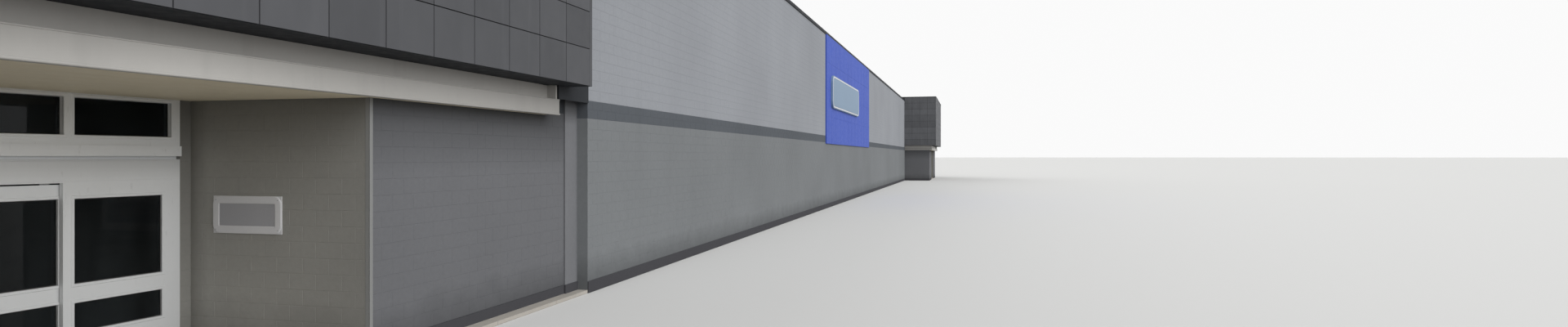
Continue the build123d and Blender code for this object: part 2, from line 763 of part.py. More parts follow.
def lights(x_from, x_to):
    """The lower and the upper light of a door panel whose stiles stand at x_from and x_to."""
    left, right = sorted((x_from, x_to))
    return (
        (left + STILE, right - STILE, PANEL_TOP, LOWER_LIGHT_TOP),
        (left + STILE, right - STILE, UPPER_LIGHT_LOW, UPPER_LIGHT_TOP),
    )


def draw_panel_frame(x_from, x_to, z_from, z_to):
    span(x_from, x_to, z_from, z_to)
    for light in lights(x_from, x_to):
        span(*light, Mode.SUBTRACT)


def draw_panes(x_from, x_to):
    for light in lights(x_from, x_to):
        bitten_light(*light)


def make_door_panels(panels, z_from, z_to):
    """Glazed door panels, each by its two edges and its back face: their frames and their panes."""
    with BuildPart() as frames:
        for x_from, x_to, back in panels:
            with BuildSketch(facing_front(back)):
                draw_panel_frame(x_from, x_to, z_from, z_to)
            extrude(amount=LEAF_THICK)
        for x_from, x_to, back in panels:
            with BuildSketch(facing_front(back - (LEAF_THICK - GLASS) / 2)):
                draw_panes(x_from, x_to)
            extrude(amount=GLASS, mode=Mode.SUBTRACT)
    with BuildPart() as panes:
        for x_from, x_to, back in panels:
            with BuildSketch(facing_front(back - (LEAF_THICK - GLASS) / 2)):
                draw_panes(x_from, x_to)
            extrude(amount=GLASS)
    return frames.part, panes.part


def make_fixed_panels():
    """The sidelights of both entrances, and the right entrance's doors, which stay shut."""
    back = DOOR_SETBACK + LEAF_THICK
    bar = BAY - STILE / 2
    for side, word in ((-1, "left"), (1, "right")):
        panels = [
            (centre + side * bar, centre + side * 2 * BAY, face + back)
            for centre, face in ENTRANCES
        ]
        frames, panes = make_door_panels(panels, FRAME_SILL, HEADER_LOW)
        save(frames, f"{word}_sidelight_frames")
        save(panes, f"{word}_sidelight_glass")

    leaves = [
        (
            RIGHT_CENTRE + side * MEETING_GAP / 2,
            RIGHT_CENTRE + side * (MEETING_GAP / 2 + LEAF_WIDTH),
            RIGHT_FRONT + LEAF_SETBACK + LEAF_THICK,
        )
        for side in (-1, 1)
    ]
    frames, panes = make_door_panels(leaves, LEAF_BOTTOM, LEAF_TOP)
    save(frames, "far_door_frames")
    save(panes, "far_door_glass")
    make_hangers("far_door_hangers", [(lead, trail) for lead, trail, _ in leaves], RIGHT_FRONT)


def hanger_places(lead, trail):
    inward = 1 if trail > lead else -1
    return (lead + inward * HANGER_INSET, trail - inward * HANGER_INSET)


def make_hangers(name, leaves, face):
    """The plates that carry each leaf, with a wheel each that runs on the track."""
    with BuildPart() as hangers:
        for lead, trail in leaves:
            with BuildSketch(facing_front(face + HANGER_SETBACK + HANGER_THICK)):
                for x in hanger_places(lead, trail):
                    with Locations((x, (LEAF_TOP + WHEEL_HEIGHT) / 2)):
                        Rectangle(HANGER_WIDTH, WHEEL_HEIGHT - LEAF_TOP)
                    with Locations((x, WHEEL_HEIGHT)):
                        Circle(HANGER_WIDTH / 2)
            extrude(amount=HANGER_THICK)
            for x in hanger_places(lead, trail):
                with BuildSketch(facing_front(face + HANGER_SETBACK + HANGER_THICK)):
                    with Locations((x, WHEEL_HEIGHT)):
                        Circle(AXLE_RADIUS)
                extrude(amount=-AXLE_STUB)
                with BuildSketch(facing_front(face + WHEEL_SETBACK)):
                    with Locations((x, WHEEL_HEIGHT)):
                        Circle(WHEEL_RADIUS)
                extrude(amount=-WHEEL_THICK)
    save(hangers.part, name)


def make_sliding_leaves():
    for side, word in ((-1, "left"), (1, "right")):
        lead = LEFT_CENTRE + side * MEETING_GAP / 2
        trail = LEFT_CENTRE + side * (MEETING_GAP / 2 + LEAF_WIDTH)
        panels = [(lead, trail, FRONT + LEAF_SETBACK + LEAF_THICK)]
        frames, panes = make_door_panels(panels, LEAF_BOTTOM, LEAF_TOP)
        save(frames, f"{word}_leaf_frame")
        save(panes, f"{word}_leaf_glass")
        make_hangers(f"{word}_leaf_hangers", [(lead, trail)], FRONT)


def make_wall_plate():
    with BuildPart() as wall_plate:
        with BuildSketch(Plane.YZ.offset(LEFT_CENTRE + PORCH_HALF)):
            y_from = FRONT + PLATE_SETBACK
            span(y_from, y_from + PLATE_LENGTH, PLATE_LOW, PLATE_LOW + PLATE_HEIGHT)
        extrude(amount=-PLATE_THICK)
    save(wall_plate.part, "blank_wall_plate")


def main():
    os.makedirs("parts", exist_ok=True)
    make_floor_slab()
    make_roof_deck()
    make_front_wall_lower()
    make_plain_walls("lower", SLAB, LOWER_TOP)
    make_stripe()
    make_front_wall_upper()
    make_plain_walls("upper", STRIPE_TOP, WALL_TOP)
    make_copings()
    make_base_strips()
    make_colour_panel()
    make_entrance_walls()
    make_porch_ceilings()
    make_canopy_bands()
    make_reveals()
    make_towers()
    make_tower_panels()
    make_tower_caps()
    make_door_surrounds()
    make_headers()
    make_transoms()
    make_fixed_panels()
    make_sliding_leaves()
    make_wall_plate()


if __name__ == "__main__":
    main()
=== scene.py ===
"""The looks of the garden store model: paint, block courses, glazing trim and a plain stage.

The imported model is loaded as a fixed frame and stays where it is. Each operator below finishes
one group of pieces. Lengths are metres in the model's own frame, where 0.1 is one real metre.
"""

import json
import math

import bmesh
import bpy
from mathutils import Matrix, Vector


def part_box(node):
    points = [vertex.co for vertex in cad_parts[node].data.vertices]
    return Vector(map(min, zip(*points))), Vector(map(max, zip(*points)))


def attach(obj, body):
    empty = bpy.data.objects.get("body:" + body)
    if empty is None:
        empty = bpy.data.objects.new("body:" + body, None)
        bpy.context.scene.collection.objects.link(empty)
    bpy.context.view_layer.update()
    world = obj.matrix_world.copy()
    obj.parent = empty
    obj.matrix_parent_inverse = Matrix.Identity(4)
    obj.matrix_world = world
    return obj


bl_info = {
    "name": "Garden Store Finishes",
    "version": (1, 0, 0),
    "blender": (4, 5, 0),
    "location": "View3D > Sidebar > Store",
    "description": "Finishes, block courses and trim for the garden store model",
    "category": "Object",
}

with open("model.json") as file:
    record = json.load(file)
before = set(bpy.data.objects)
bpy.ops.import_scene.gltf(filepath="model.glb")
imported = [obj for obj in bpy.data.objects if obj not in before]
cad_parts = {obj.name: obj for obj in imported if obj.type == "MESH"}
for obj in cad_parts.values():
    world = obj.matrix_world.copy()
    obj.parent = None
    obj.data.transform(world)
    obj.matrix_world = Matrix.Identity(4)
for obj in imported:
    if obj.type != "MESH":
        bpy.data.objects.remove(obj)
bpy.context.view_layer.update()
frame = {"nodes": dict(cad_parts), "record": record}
NODES = frame["nodes"]
BUILDING = "building"
MM = 0.001
X = Vector((1, 0, 0))
Y = Vector((0, 1, 0))
UP = Vector((0, 0, 1))


def srgb(red, green, blue):
    """A colour written in display values from 0 to 255, as Blender's linear values."""
    shares = [value / 255 for value in (red, green, blue)]
    return tuple(
        share / 12.92 if share <= 0.04045 else ((share + 0.055) / 1.055) ** 2.4 for share in shares
    )


def solids(node):
    """The lowest and highest corners of each separate solid in a CAD node, from left to right."""
    mesh = bmesh.new()
    mesh.from_mesh(NODES[node].data)
    bmesh.ops.remove_doubles(mesh, verts=mesh.verts, dist=MM * 0.01)
    unseen = set(mesh.verts)
    boxes = []
    while unseen:
        group = [unseen.pop()]
        for vertex in group:
            for edge in vertex.link_edges:
                other = edge.other_vert(vertex)
                if other in unseen:
                    unseen.remove(other)
                    group.append(other)
        low = Vector([min(vertex.co[axis] for vertex in group) for axis in range(3)])
        high = Vector([max(vertex.co[axis] for vertex in group) for axis in range(3)])
        boxes.append((low, high))
    mesh.free()
    return sorted(boxes, key=lambda box: (round(box[0].x, 4), round(box[0].z, 4)))


def levels(node, axis):
    """The places along one axis at which a CAD node has corners, in order."""
    return sorted({round(vertex.co[axis], 5) for vertex in NODES[node].data.vertices})


def middle(*nodes):
    """The X midway between the ends of some nodes."""
    corners = [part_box(node) for node in nodes]
    return (min(low.x for low, _ in corners) + max(high.x for _, high in corners)) / 2


# Places read from the frame.
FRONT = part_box("front_wall_lower")[0].y
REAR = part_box("rear_wall_lower")[1].y
BASE_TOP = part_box("base_strip_front_rear")[1].z
UPPER_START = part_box("front_wall_upper")[0].z
CEILING_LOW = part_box("porch_ceilings")[0].z
HEADER_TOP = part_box("door_headers")[1].z
BANDS = solids("canopy_bands")
BAND_LEDGE = levels("canopy_bands", 2)[-2]
BAND_START, _, FRIEZE_START = levels("canopy_bands", 0)[:3]
FRIEZE_SETBACK = FRIEZE_START - BAND_START
LEFT_CENTRE = middle("left_leaf_frame", "right_leaf_frame")
RIGHT_CENTRE = middle("far_door_frames")
BAND_HALF = LEFT_CENTRE - BAND_START
ENTRANCE_WALLS = solids("entrance_front_walls")
MOUTHS = [low.y for low, _ in ENTRANCE_WALLS[::2]]
DOOR_FACES = sorted({round(low.y, 5) for low, _ in solids("door_jambs")}, reverse=True)


# What a user may change.
def length_property(name, description, default):
    return bpy.props.FloatProperty(
        name=name, description=description, unit="LENGTH", default=default
    )


def colour_property(name, description, *display):
    """A colour whose default is given in display values from 0 to 255."""
    return bpy.props.FloatVectorProperty(
        name=name, description=description, subtype="COLOR", min=0.0, max=1.0, default=srgb(*display)
    )


class StoreSizes(bpy.types.PropertyGroup):
    """Sizes of the pieces that are added to the model."""

    block_length: length_property("Block length", "Length of a wall block with its joint", 0.04)
    block_joint: length_property("Block joint", "Width of the mortar joint of two blocks", 0.0011)
    block_relief: length_property("Block relief", "How far a block stands off its mortar", 0.00022)
    course_height: length_property("Course height", "Height that a course comes closest to", 0.0204)
    seam_pitch: length_property("Coping seam pitch", "Distance between coping joints", 0.305)
    membrane_width: length_property("Roof sheet width", "Width of a sheet between its laps", 0.2)
    gasket: length_property("Gasket width", "Width of the gasket that shows round a pane", 0.0009)


class StoreColours(bpy.types.PropertyGroup):
    """Paint and sheet colours."""

    lower_wall: colour_property("Lower wall", "Paint on the lower block walls", 124, 127, 129)
    entrance_wall: colour_property("Entrance walls", "Paint beside the porches", 108, 109, 112)
    # Painted light: the porch walls' paint is lighter than the walls outside, standing for light that
    # reaches into the porches.
    porch_wall_painted_light: colour_property("Porch walls", "Paint on the walls in the porches", 161, 160, 155)
    stripe: colour_property("Stripe", "Paint on the dark course", 91, 95, 100)
    upper_wall: colour_property("Upper wall", "Paint on the upper walls", 150, 153, 158)
    base: colour_property("Base", "Paint on the foot of the walls", 86, 86, 90)
    panel: colour_property("Tower panels", "Dark sheet of the towers", 90, 91, 94)
    dark_trim: colour_property("Dark trim", "Copings, caps and linings", 52, 54, 57)
    band: colour_property("Canopy band", "Off-white metal over the entrances", 187, 185, 181)
    ceiling: colour_property("Porch ceiling", "Tan sheet over the porches", 236, 226, 201)
    frame: colour_property("Door frames", "White paint on the door sets", 240, 242, 243)
    blue: colour_property("Blue panel", "Blue sheet on the front wall", 70, 92, 178)
    sign: colour_property("Blank sign", "Opal face of the blank sign", 124, 146, 168)
    plate: colour_property("Wall plate", "Rim of the blank plate in the porch", 214, 214, 216)
    plate_field: colour_property("Plate field", "Middle of the blank plate", 168, 168, 172)
    guard: colour_property("Corner guards", "Painted steel on the porch corners", 134, 135, 134)
    roofing: colour_property("Roofing", "Roof sheet", 186, 185, 180)
    concrete: colour_property("Floor", "Bare concrete", 176, 171, 163)
    metal: colour_property("Bare metal", "Sills, tracks and hangers", 170, 171, 172)
    rubber: colour_property("Gaskets", "Black rubber", 26, 26, 27)
    glass: colour_property("Glass", "Tint of the panes", 112, 120, 124)
    post: colour_property("Reveal posts", "Posts beside the left band", 117, 118, 121)


# What finishes share. A shade is the share of its paint's light that splash dirt, and painted shade,
# leave.
EVEN = (1.0, 1.0, 1.0)
SPLASH_SHADE = 0.42
# Painted shade: how much of the paint's light is left where a layer darkens a surface to stand for
# shade.
PAINTED_SHADE = 0.4
UPPER_COURSE = 0.0199
FLOOR_BAY = (0.175, 0.15)
SAW_CUT = 0.0006


# Wiring of materials.
def add_node(tree, kind, inputs=None, **settings):
    """A shader node with its settings and its inputs, each a value or another node's socket."""
    node = tree.nodes.new(kind)
    for name, value in settings.items():
        setattr(node, name, value)
    for socket, value in (inputs or {}).items():
        if isinstance(value, bpy.types.NodeSocket):
            tree.links.new(value, node.inputs[socket])
        else:
            node.inputs[socket].default_value = value
    return node


def shade(colour, factor):
    return tuple(min(1.0, value * factor) for value in colour[:3]) + (1.0,)


def place(tree, kind="Object"):
    """The socket that gives a point's place in the model's frame, or a direction in the sky."""
    return add_node(tree, "ShaderNodeTexCoord").outputs[kind]


def axes(tree, kind="Object"):
    """The X, Y and Z of a point's place or of a direction."""
    return add_node(tree, "ShaderNodeSeparateXYZ", {"Vector": place(tree, kind)}).outputs


def noise(tree, scale, detail=4.0, stretch=EVEN, roughness=0.55):
    """Noise with features of about 1 / scale metres, stretched along the axes."""
    scales = tuple(scale * share for share in stretch)
    mapping = add_node(tree, "ShaderNodeMapping", {"Vector": place(tree), "Scale": scales})
    inputs = {
        "Vector": mapping.outputs["Vector"],
        "Scale": 1.0,
        "Detail": detail,
        "Roughness": roughness,
    }
    return add_node(tree, "ShaderNodeTexNoise", inputs).outputs["Fac"]


def ramp(tree, value, low, high, out_low=0.0, out_high=1.0):
    inputs = {"Value": value, "From Min": low, "From Max": high, "To Min": out_low, "To Max": out_high}
    return add_node(tree, "ShaderNodeMapRange", inputs).outputs["Result"]


def mixed(tree, factor, first, second):
    node = add_node(tree, "ShaderNodeMix", {0: factor, 6: first, 7: second}, data_type="RGBA")
    return node.outputs[2]


def math_node(tree, operation, first, second=0.0):
    node = add_node(tree, "ShaderNodeMath", {0: first, 1: second}, operation=operation)
    return node.outputs[0]


def by_entrance(tree, across, left, right):
    """One value left of the model's middle and another right of it."""
    return ramp(tree, across, -MM, MM, left, right)


def joint_lines(tree, flat, length, height, joint, offset=0.5):
    """The joints of a bond over a flat vector, as a factor that is 1 in the joint."""
    inputs = {
        "Vector": flat,
        "Scale": 1.0,
        "Mortar Size": joint,
        "Mortar Smooth": 0.3,
        "Brick Width": length,
        "Row Height": height,
    }
    return add_node(tree, "ShaderNodeTexBrick", inputs, offset=offset).outputs["Fac"]


def course_lines(tree, length, height, joint, start):
    """Mortar lines of running bond on an upright face."""
    parts = axes(tree)
    along = math_node(tree, "ADD", parts["X"], parts["Y"])
    up = math_node(tree, "SUBTRACT", parts["Z"], start)
    flat = add_node(tree, "ShaderNodeCombineXYZ", {"X": along, "Y": up})
    return joint_lines(tree, flat.outputs["Vector"], length, height, joint)


def shown(tree):
    """1 for a ray that shows a surface to the eye, straight or by gloss or glass, and else 0."""
    path = add_node(tree, "ShaderNodeLightPath")
    seen = math_node(tree, "MAXIMUM", path.outputs["Is Camera Ray"], path.outputs["Is Glossy Ray"])
    return math_node(tree, "MAXIMUM", seen, path.outputs["Is Transmission Ray"])


def new_material(name, roughness, metallic=0.0, gloss=0.5):
    material = bpy.data.materials.new(name)
    material.use_nodes = True
    shader = material.node_tree.nodes["Principled BSDF"]
    shader.inputs["Roughness"].default_value = roughness
    shader.inputs["Metallic"].default_value = metallic
    shader.inputs["Specular IOR Level"].default_value = gloss
    return material, material.node_tree, shader


def layered(name, colour, roughness, layers, gloss=0.5):
    """A material whose colour starts plain and is worked up by layers."""
    material, tree, shader = new_material(name, roughness, gloss=gloss)
    base = shade(colour, 1.0)
    for layer in layers:
        base = layer(tree, base, colour)
    tree.links.new(base, shader.inputs["Base Color"])
    return material, tree, shader


def bump(tree, shader, height, distance, strength):
    """Adds relief from a height over the relief that the shader has already."""
    inputs = {"Height": height, "Distance": distance, "Strength": strength}
    target = shader.inputs["Normal"]
    if target.is_linked:
        inputs["Normal"] = target.links[0].from_socket
    tree.links.new(add_node(tree, "ShaderNodeBump", inputs).outputs["Normal"], target)


# Layers of wear and of painted shade. A layer takes the colour that is made so far and gives it back
# with more on it.
# Each function here is a layer, or makes one from its own values.
def marks(tone, low, high, amount, **grain):
    """Marks in another tone of the colour, where a noise of that grain rises from low to high."""

    def layer(tree, base, colour):
        factor = ramp(tree, noise(tree, **grain), low, high, 0.0, amount)
        return mixed(tree, factor, base, shade(colour, tone))

    return layer


def worn(patch, grain, streak):
    """Broad patches, fine grain and faint rain streaks, as the first layer of most surfaces."""

    def layer(tree, base, colour):
        broad = ramp(tree, noise(tree, 2.2), 0.3, 0.7)
        base = mixed(tree, broad, shade(colour, 1 - patch), shade(colour, 1 + patch))
        specks = marks(0.55, 0.3, 0.7, grain, scale=160.0, detail=2.0)
        runs = marks(0.45, 0.52, 0.78, streak, scale=30.0, detail=3.0, stretch=(1.0, 1.0, 0.06))
        return runs(tree, specks(tree, base, colour), colour)

    return layer


def foot_dirt(top=0.05, amount=0.55):
    """Splash dirt that fades out from the ground up to a height."""

    def layer(tree, base, colour):
        ragged = math_node(tree, "MULTIPLY", noise(tree, 18.0), top)
        edge = math_node(tree, "SUBTRACT", axes(tree)["Z"], ragged)
        factor = ramp(tree, edge, 0.0, top, amount, 0.0)
        return mixed(tree, factor, base, shade(colour, SPLASH_SHADE))

    return layer


def height_painted_shade(low, high, at_low, at_high):
    """Painted shade that changes from one height to another, as under a ledge."""

    def layer(tree, base, colour):
        # Painted shade: darker by height, standing for the shade under what juts out above.
        factor = ramp(tree, axes(tree)["Z"], low, high, at_low, at_high)
        return mixed(tree, factor, base, shade(colour, PAINTED_SHADE))

    return layer


def header_painted_shadow(tree, base, colour):
    """Painted shadow under the sill of the transom, on the header alone."""
    # Painted shadow: the header is darkened just below the transom's sill.
    header = height_painted_shade(HEADER_TOP - 0.025, HEADER_TOP, 0.0, 0.4)(tree, base, colour)
    below_sill = ramp(tree, axes(tree)["Z"], HEADER_TOP, HEADER_TOP + MM, 1.0, 0.0)
    return mixed(tree, below_sill, base, header)


def porch_painted_shade(tree, base, colour):
    """Painted shade on the porch walls: darker towards the mouth of a porch and in its inner corners.
    """
    parts = axes(tree)
    mouth = by_entrance(tree, parts["X"], *MOUTHS)
    depth = math_node(tree, "SUBTRACT", parts["Y"], mouth)
    inner = DOOR_FACES[0] - MOUTHS[0]
    # Painted shade: darker towards the mouth, and darker again in the inner corners.
    mouth_shade = ramp(tree, depth, 0.0, inner, 0.45, 0.0)
    corner = ramp(tree, depth, inner - 30 * MM, inner - MM, 0.0, 0.5)
    return mixed(tree, math_node(tree, "ADD", mouth_shade, corner), base, shade(colour, PAINTED_SHADE))


def fascia_painted_shade(tree, base, colour):
    """Painted shade on the fascias: darker out from the middle of each band to its ends, and up to its
    ledge under the tower.
    """
    parts = axes(tree)
    centre = by_entrance(tree, parts["X"], LEFT_CENTRE, RIGHT_CENTRE)
    reach = math_node(tree, "ABSOLUTE", math_node(tree, "SUBTRACT", parts["X"], centre))
    # Painted shade: darker out from the middle of each band towards its ends.
    middle_shade = ramp(tree, reach, 0.0, BAND_HALF * 0.4, 0.0, 0.38)
    end_shade = ramp(tree, reach, BAND_HALF * 0.5, BAND_HALF, 0.0, 0.2)
    # Painted shade: darker up to the ledge, where the tower above shades the fascia.
    height = ramp(tree, parts["Z"], CEILING_LOW, BAND_LEDGE, 0.0, 0.15)
    fascia = ramp(tree, parts["Z"], BAND_LEDGE - MM, BAND_LEDGE + MM, 1.0, 0.0)
    shade_along = math_node(tree, "ADD", middle_shade, end_shade)
    dirt_and_shade = math_node(tree, "MULTIPLY", math_node(tree, "ADD", shade_along, height), fascia)
    return mixed(tree, dirt_and_shade, base, shade(colour, PAINTED_SHADE))


def course_paint(courses):
    """Paint that is a little darker in the joints of the courses."""

    def layer(tree, base, colour):
        factor = math_node(tree, "MULTIPLY", course_lines(tree, *courses), 0.14)
        return mixed(tree, factor, base, shade(colour, 0.6))

    return layer


def saw_cuts(tree, base, colour):
    """Dark saw cuts in a floor."""
    cuts = joint_lines(tree, place(tree), *FLOOR_BAY, SAW_CUT, offset=0.0)
    return mixed(tree, math_node(tree, "MULTIPLY", cuts, 0.6), base, shade(colour, 0.35))


def panel_chance(tree, parts):
    """A chance value from 0 to 1 for each panel of the towers, for the layer of their tones."""
    angle_width = 20 * MM
    panels = [box for box in solids("tower_front_panels") if box[1].x - box[0].x > angle_width]
    first = panels[0][0]
    right_start = min(low.x for low, _ in panels if low.x > 0)
    width = next(low.x for low, _ in panels if low.x > first.x + MM) - first.x
    height = panels[1][0].z - first.z
    start = by_entrance(tree, parts["X"], first.x, right_start)
    counts = []
    for spot, begin, pitch in ((parts["X"], start, width), (parts["Z"], first.z, height)):
        away = math_node(tree, "SUBTRACT", spot, begin)
        counts.append(math_node(tree, "FLOOR", math_node(tree, "DIVIDE", away, pitch)))
    cell = add_node(tree, "ShaderNodeCombineXYZ", {"X": counts[0], "Y": counts[1]})
    chance = add_node(tree, "ShaderNodeTexWhiteNoise", {"Vector": cell.outputs["Vector"]})
    return chance.outputs["Value"]


def panel_tones(tree, base, colour):
    """One tone for each panel, and painted light that makes the right tower's panels paler."""
    parts = axes(tree)
    chance = panel_chance(tree, parts)
    dark = mixed(tree, chance, shade(colour, 0.86), shade(colour, 1.12))
    # Painted light: paler tones for the right tower's panels.
    pale = mixed(tree, chance, shade(colour, 1.1), shade(colour, 1.4))
    return mixed(tree, by_entrance(tree, parts["X"], 0.0, 1.0), dark, pale)


# The finishes.
def painted_block(name, colour, roughness=0.82, courses=None, streak=0.06, dirt_and_shade=(foot_dirt(),)):
    """Painted block: open grain, broad patches, rain streaks, its layers of dirt and painted shade, and
    its drawn courses.
    """
    # The extra layers are splash dirt, painted shade, or both.
    layers = [worn(patch=0.07, grain=0.12, streak=streak), *dirt_and_shade]
    if courses:
        layers.append(course_paint(courses))
    material, tree, shader = layered(name, colour, roughness, layers, gloss=0.05)
    bump(tree, shader, noise(tree, 420.0, 6.0, roughness=0.7), 0.0004, 0.55)
    if courses:
        recess = math_node(tree, "SUBTRACT", 1.0, course_lines(tree, *courses))
        bump(tree, shader, recess, 0.0005, 0.5)
    return material


def dark_panel(name, colour):
    """Satin composite sheet, where each panel is a little lighter or darker than the next, with the
    right tower's panels painted paler as painted light.
    """
    smears = marks(0.7, 0.35, 0.75, 0.3, scale=26.0, detail=5.0, stretch=(1.0, 1.0, 0.35))
    runs = marks(1.35, 0.6, 0.8, 0.25, scale=60.0, detail=2.0, stretch=(1.0, 1.0, 0.05))
    layers = (panel_tones, smears, runs)
    material, tree, shader = layered(name, colour, 0.6, layers, gloss=0.04)
    satin = ramp(tree, noise(tree, 40.0, 3.0), 0.3, 0.7, 0.5, 0.7)
    tree.links.new(satin, shader.inputs["Roughness"])
    bump(tree, shader, noise(tree, 9.0, 2.0), 0.002, 0.12)
    return material


def sheet_paint(name, colour, roughness=0.4, streak=0.1, patch=0.04, gloss=0.1, dirt_and_shade=()):
    """Painted sheet metal with faint oil-canning, dust and rain marks."""
    layers = (worn(patch, grain=0.04, streak=streak), *dirt_and_shade)
    material, tree, shader = layered(name, colour, roughness, layers, gloss)
    rough = ramp(tree, noise(tree, 70.0, 4.0), 0.3, 0.7, roughness - 0.06, roughness + 0.1)
    tree.links.new(rough, shader.inputs["Roughness"])
    bump(tree, shader, noise(tree, 14.0, 2.0), 0.0012, 0.12)
    return material


def frame_paint(name, colour):
    """White door frame: smooth paint with small marks, dirt at the foot, painted shade that darkens it
    towards the floor, and a painted shadow on the header.
    """
    layers = (
        worn(patch=0.03, grain=0.03, streak=0.03),
        foot_dirt(top=0.03, amount=0.45),
        # Painted shade: the frames darken from the header down towards the floor.
        height_painted_shade(0.04, HEADER_TOP, 0.62, 0.0),
        # Painted shadow on the header under the transom's sill.
        header_painted_shadow,
        marks(0.62, 0.62, 0.75, 0.35, scale=220.0, detail=5.0, stretch=(1.0, 1.0, 0.3)),
    )
    material, tree, shader = layered(name, colour, 0.33, layers)
    bump(tree, shader, noise(tree, 500.0, 3.0), 0.0001, 0.3)
    return material


def opal(name, colour):
    """Translucent sign face with faint dust."""
    dust = worn(patch=0.02, grain=0.03, streak=0.05)
    material, tree, shader = layered(name, colour, 0.45, (dust,), gloss=0.12)
    bump(tree, shader, noise(tree, 8.0, 2.0), 0.002, 0.08)
    return material


def pane(name, colour):
    """Clear glass that shows the dark hall behind it, with a little dust on it."""
    dust = marks(0.7, 0.45, 0.8, 0.3, scale=90.0, detail=5.0)
    material, tree, shader = layered(name, colour, 0.02, (dust,))
    film = ramp(tree, noise(tree, 24.0, 3.0, (1.0, 1.0, 0.3)), 0.35, 0.7, 0.98, 0.93)
    tree.links.new(film, shader.inputs["Transmission Weight"])
    shader.inputs["IOR"].default_value = 1.25
    haze = ramp(tree, noise(tree, 140.0, 4.0), 0.5, 0.8, 0.02, 0.12)
    tree.links.new(haze, shader.inputs["Roughness"])
    return material


def roof_sheet(name, colour):
    """Single-ply roofing with puddle marks."""
    wear = worn(patch=0.1, grain=0.08, streak=0.0)
    puddles = marks(0.6, 0.55, 0.72, 0.35, scale=5.0, detail=6.0, roughness=0.65)
    material, tree, shader = layered(name, colour, 0.7, (wear, puddles))
    bump(tree, shader, noise(tree, 60.0, 4.0), 0.0008, 0.3)
    return material


def concrete(name, colour):
    """Trowelled concrete with saw cuts and wear."""
    wear = worn(patch=0.1, grain=0.12, streak=0.0)
    tread = marks(0.6, 0.45, 0.75, 0.3, scale=12.0, detail=5.0)
    material, tree, shader = layered(name, colour, 0.75, (wear, saw_cuts, tread))
    bump(tree, shader, noise(tree, 300.0, 5.0), 0.0003, 0.4)
    return material


def bare_metal(name, colour, stretch):
    """Milled metal, brushed along one way."""
    material, tree, shader = new_material(name, 0.35, 0.9)
    lines = noise(tree, 300.0, 3.0, stretch)
    base = mixed(tree, ramp(tree, lines, 0.3, 0.7), shade(colour, 0.8), shade(colour, 1.1))
    tree.links.new(base, shader.inputs["Base Color"])
    rough = ramp(tree, lines, 0.3, 0.7, 0.25, 0.45)
    tree.links.new(rough, shader.inputs["Roughness"])
    return material


def rubber(name, colour):
    """Dull black rubber with dust in its grain."""
    dust = marks(3.5, 0.5, 0.8, 0.3, scale=260.0)
    return layered(name, colour, 0.75, (dust,))[0]


def make_finish(name):
    """The material of one of the record's slots, or of a small part that the slots don't name."""
    colours = bpy.context.scene.store_colours
    sizes = bpy.context.scene.store_sizes
    wall_courses = (sizes.block_length, UPPER_COURSE, sizes.block_joint, UPPER_START)
    # Painted shadow on the walls beside the porches, under the canopy bands; painted shade at the tops
    # of the porch walls, under the ceilings, and of the reveal posts, under the head.
    painted_shadow_under_band = height_painted_shade(CEILING_LOW - 0.1, CEILING_LOW, 0.0, 0.8)
    painted_shade_under_ceiling = height_painted_shade(CEILING_LOW - 0.08, CEILING_LOW, 0.0, 0.5)
    painted_shade_under_head = height_painted_shade(CEILING_LOW - 0.015, CEILING_LOW + 0.01, 0.0, 0.7)
    makers = {
        "lower_block": lambda: painted_block(name, colours.lower_wall),
        "entrance_block": lambda: painted_block(
            name, colours.entrance_wall, streak=0.03, dirt_and_shade=(foot_dirt(), painted_shadow_under_band)
        ),
        "porch_block": lambda: painted_block(
            name, colours.porch_wall_painted_light, streak=0.02, dirt_and_shade=(foot_dirt(), porch_painted_shade, painted_shade_under_ceiling)
        ),
        "stripe_block": lambda: painted_block(name, colours.stripe, dirt_and_shade=()),
        "upper_wall": lambda: painted_block(name, colours.upper_wall, 0.7, wall_courses, dirt_and_shade=()),
        "base_paint": lambda: painted_block(name, colours.base),
        "post_gray": lambda: painted_block(name, colours.post, 0.6, dirt_and_shade=(painted_shade_under_head,)),
        "dark_trim": lambda: sheet_paint(name, colours.dark_trim, 0.5, gloss=0.03),
        "tower_frame": lambda: sheet_paint(name, shade(colours.panel, 0.25), 0.6),
        "band_white": lambda: sheet_paint(name, colours.band, 0.42, 0.16, 0.05, dirt_and_shade=(fascia_painted_shade,)),
        "ceiling_tan": lambda: sheet_paint(name, colours.ceiling, 0.5, 0.0, 0.06),
        "blue_paint": lambda: sheet_paint(name, colours.blue, 0.55),
        "plate_white": lambda: sheet_paint(name, colours.plate, 0.35, 0.05),
        "plate_field": lambda: sheet_paint(name, colours.plate_field, 0.45),
        "corner_guard": lambda: sheet_paint(name, colours.guard, 0.5),
        "tower_panel": lambda: dark_panel(name, colours.panel),
        "roofing": lambda: roof_sheet(name, colours.roofing),
        "concrete": lambda: concrete(name, colours.concrete),
        "sign_white": lambda: opal(name, colours.sign),
        "door_frame": lambda: frame_paint(name, colours.frame),
        "door_glass": lambda: pane(name, colours.glass),
        "bare_metal": lambda: bare_metal(name, colours.metal, (0.02, 1.0, 1.0)),
        "hanger_steel": lambda: bare_metal(name, colours.metal, (1.0, 1.0, 0.1)),
        "rubber": lambda: rubber(name, colours.rubber),
    }
    return makers[name]()


FINISHES = {}


def finish(name):
    if name not in FINISHES:
        FINISHES[name] = make_finish(name)
    return FINISHES[name]


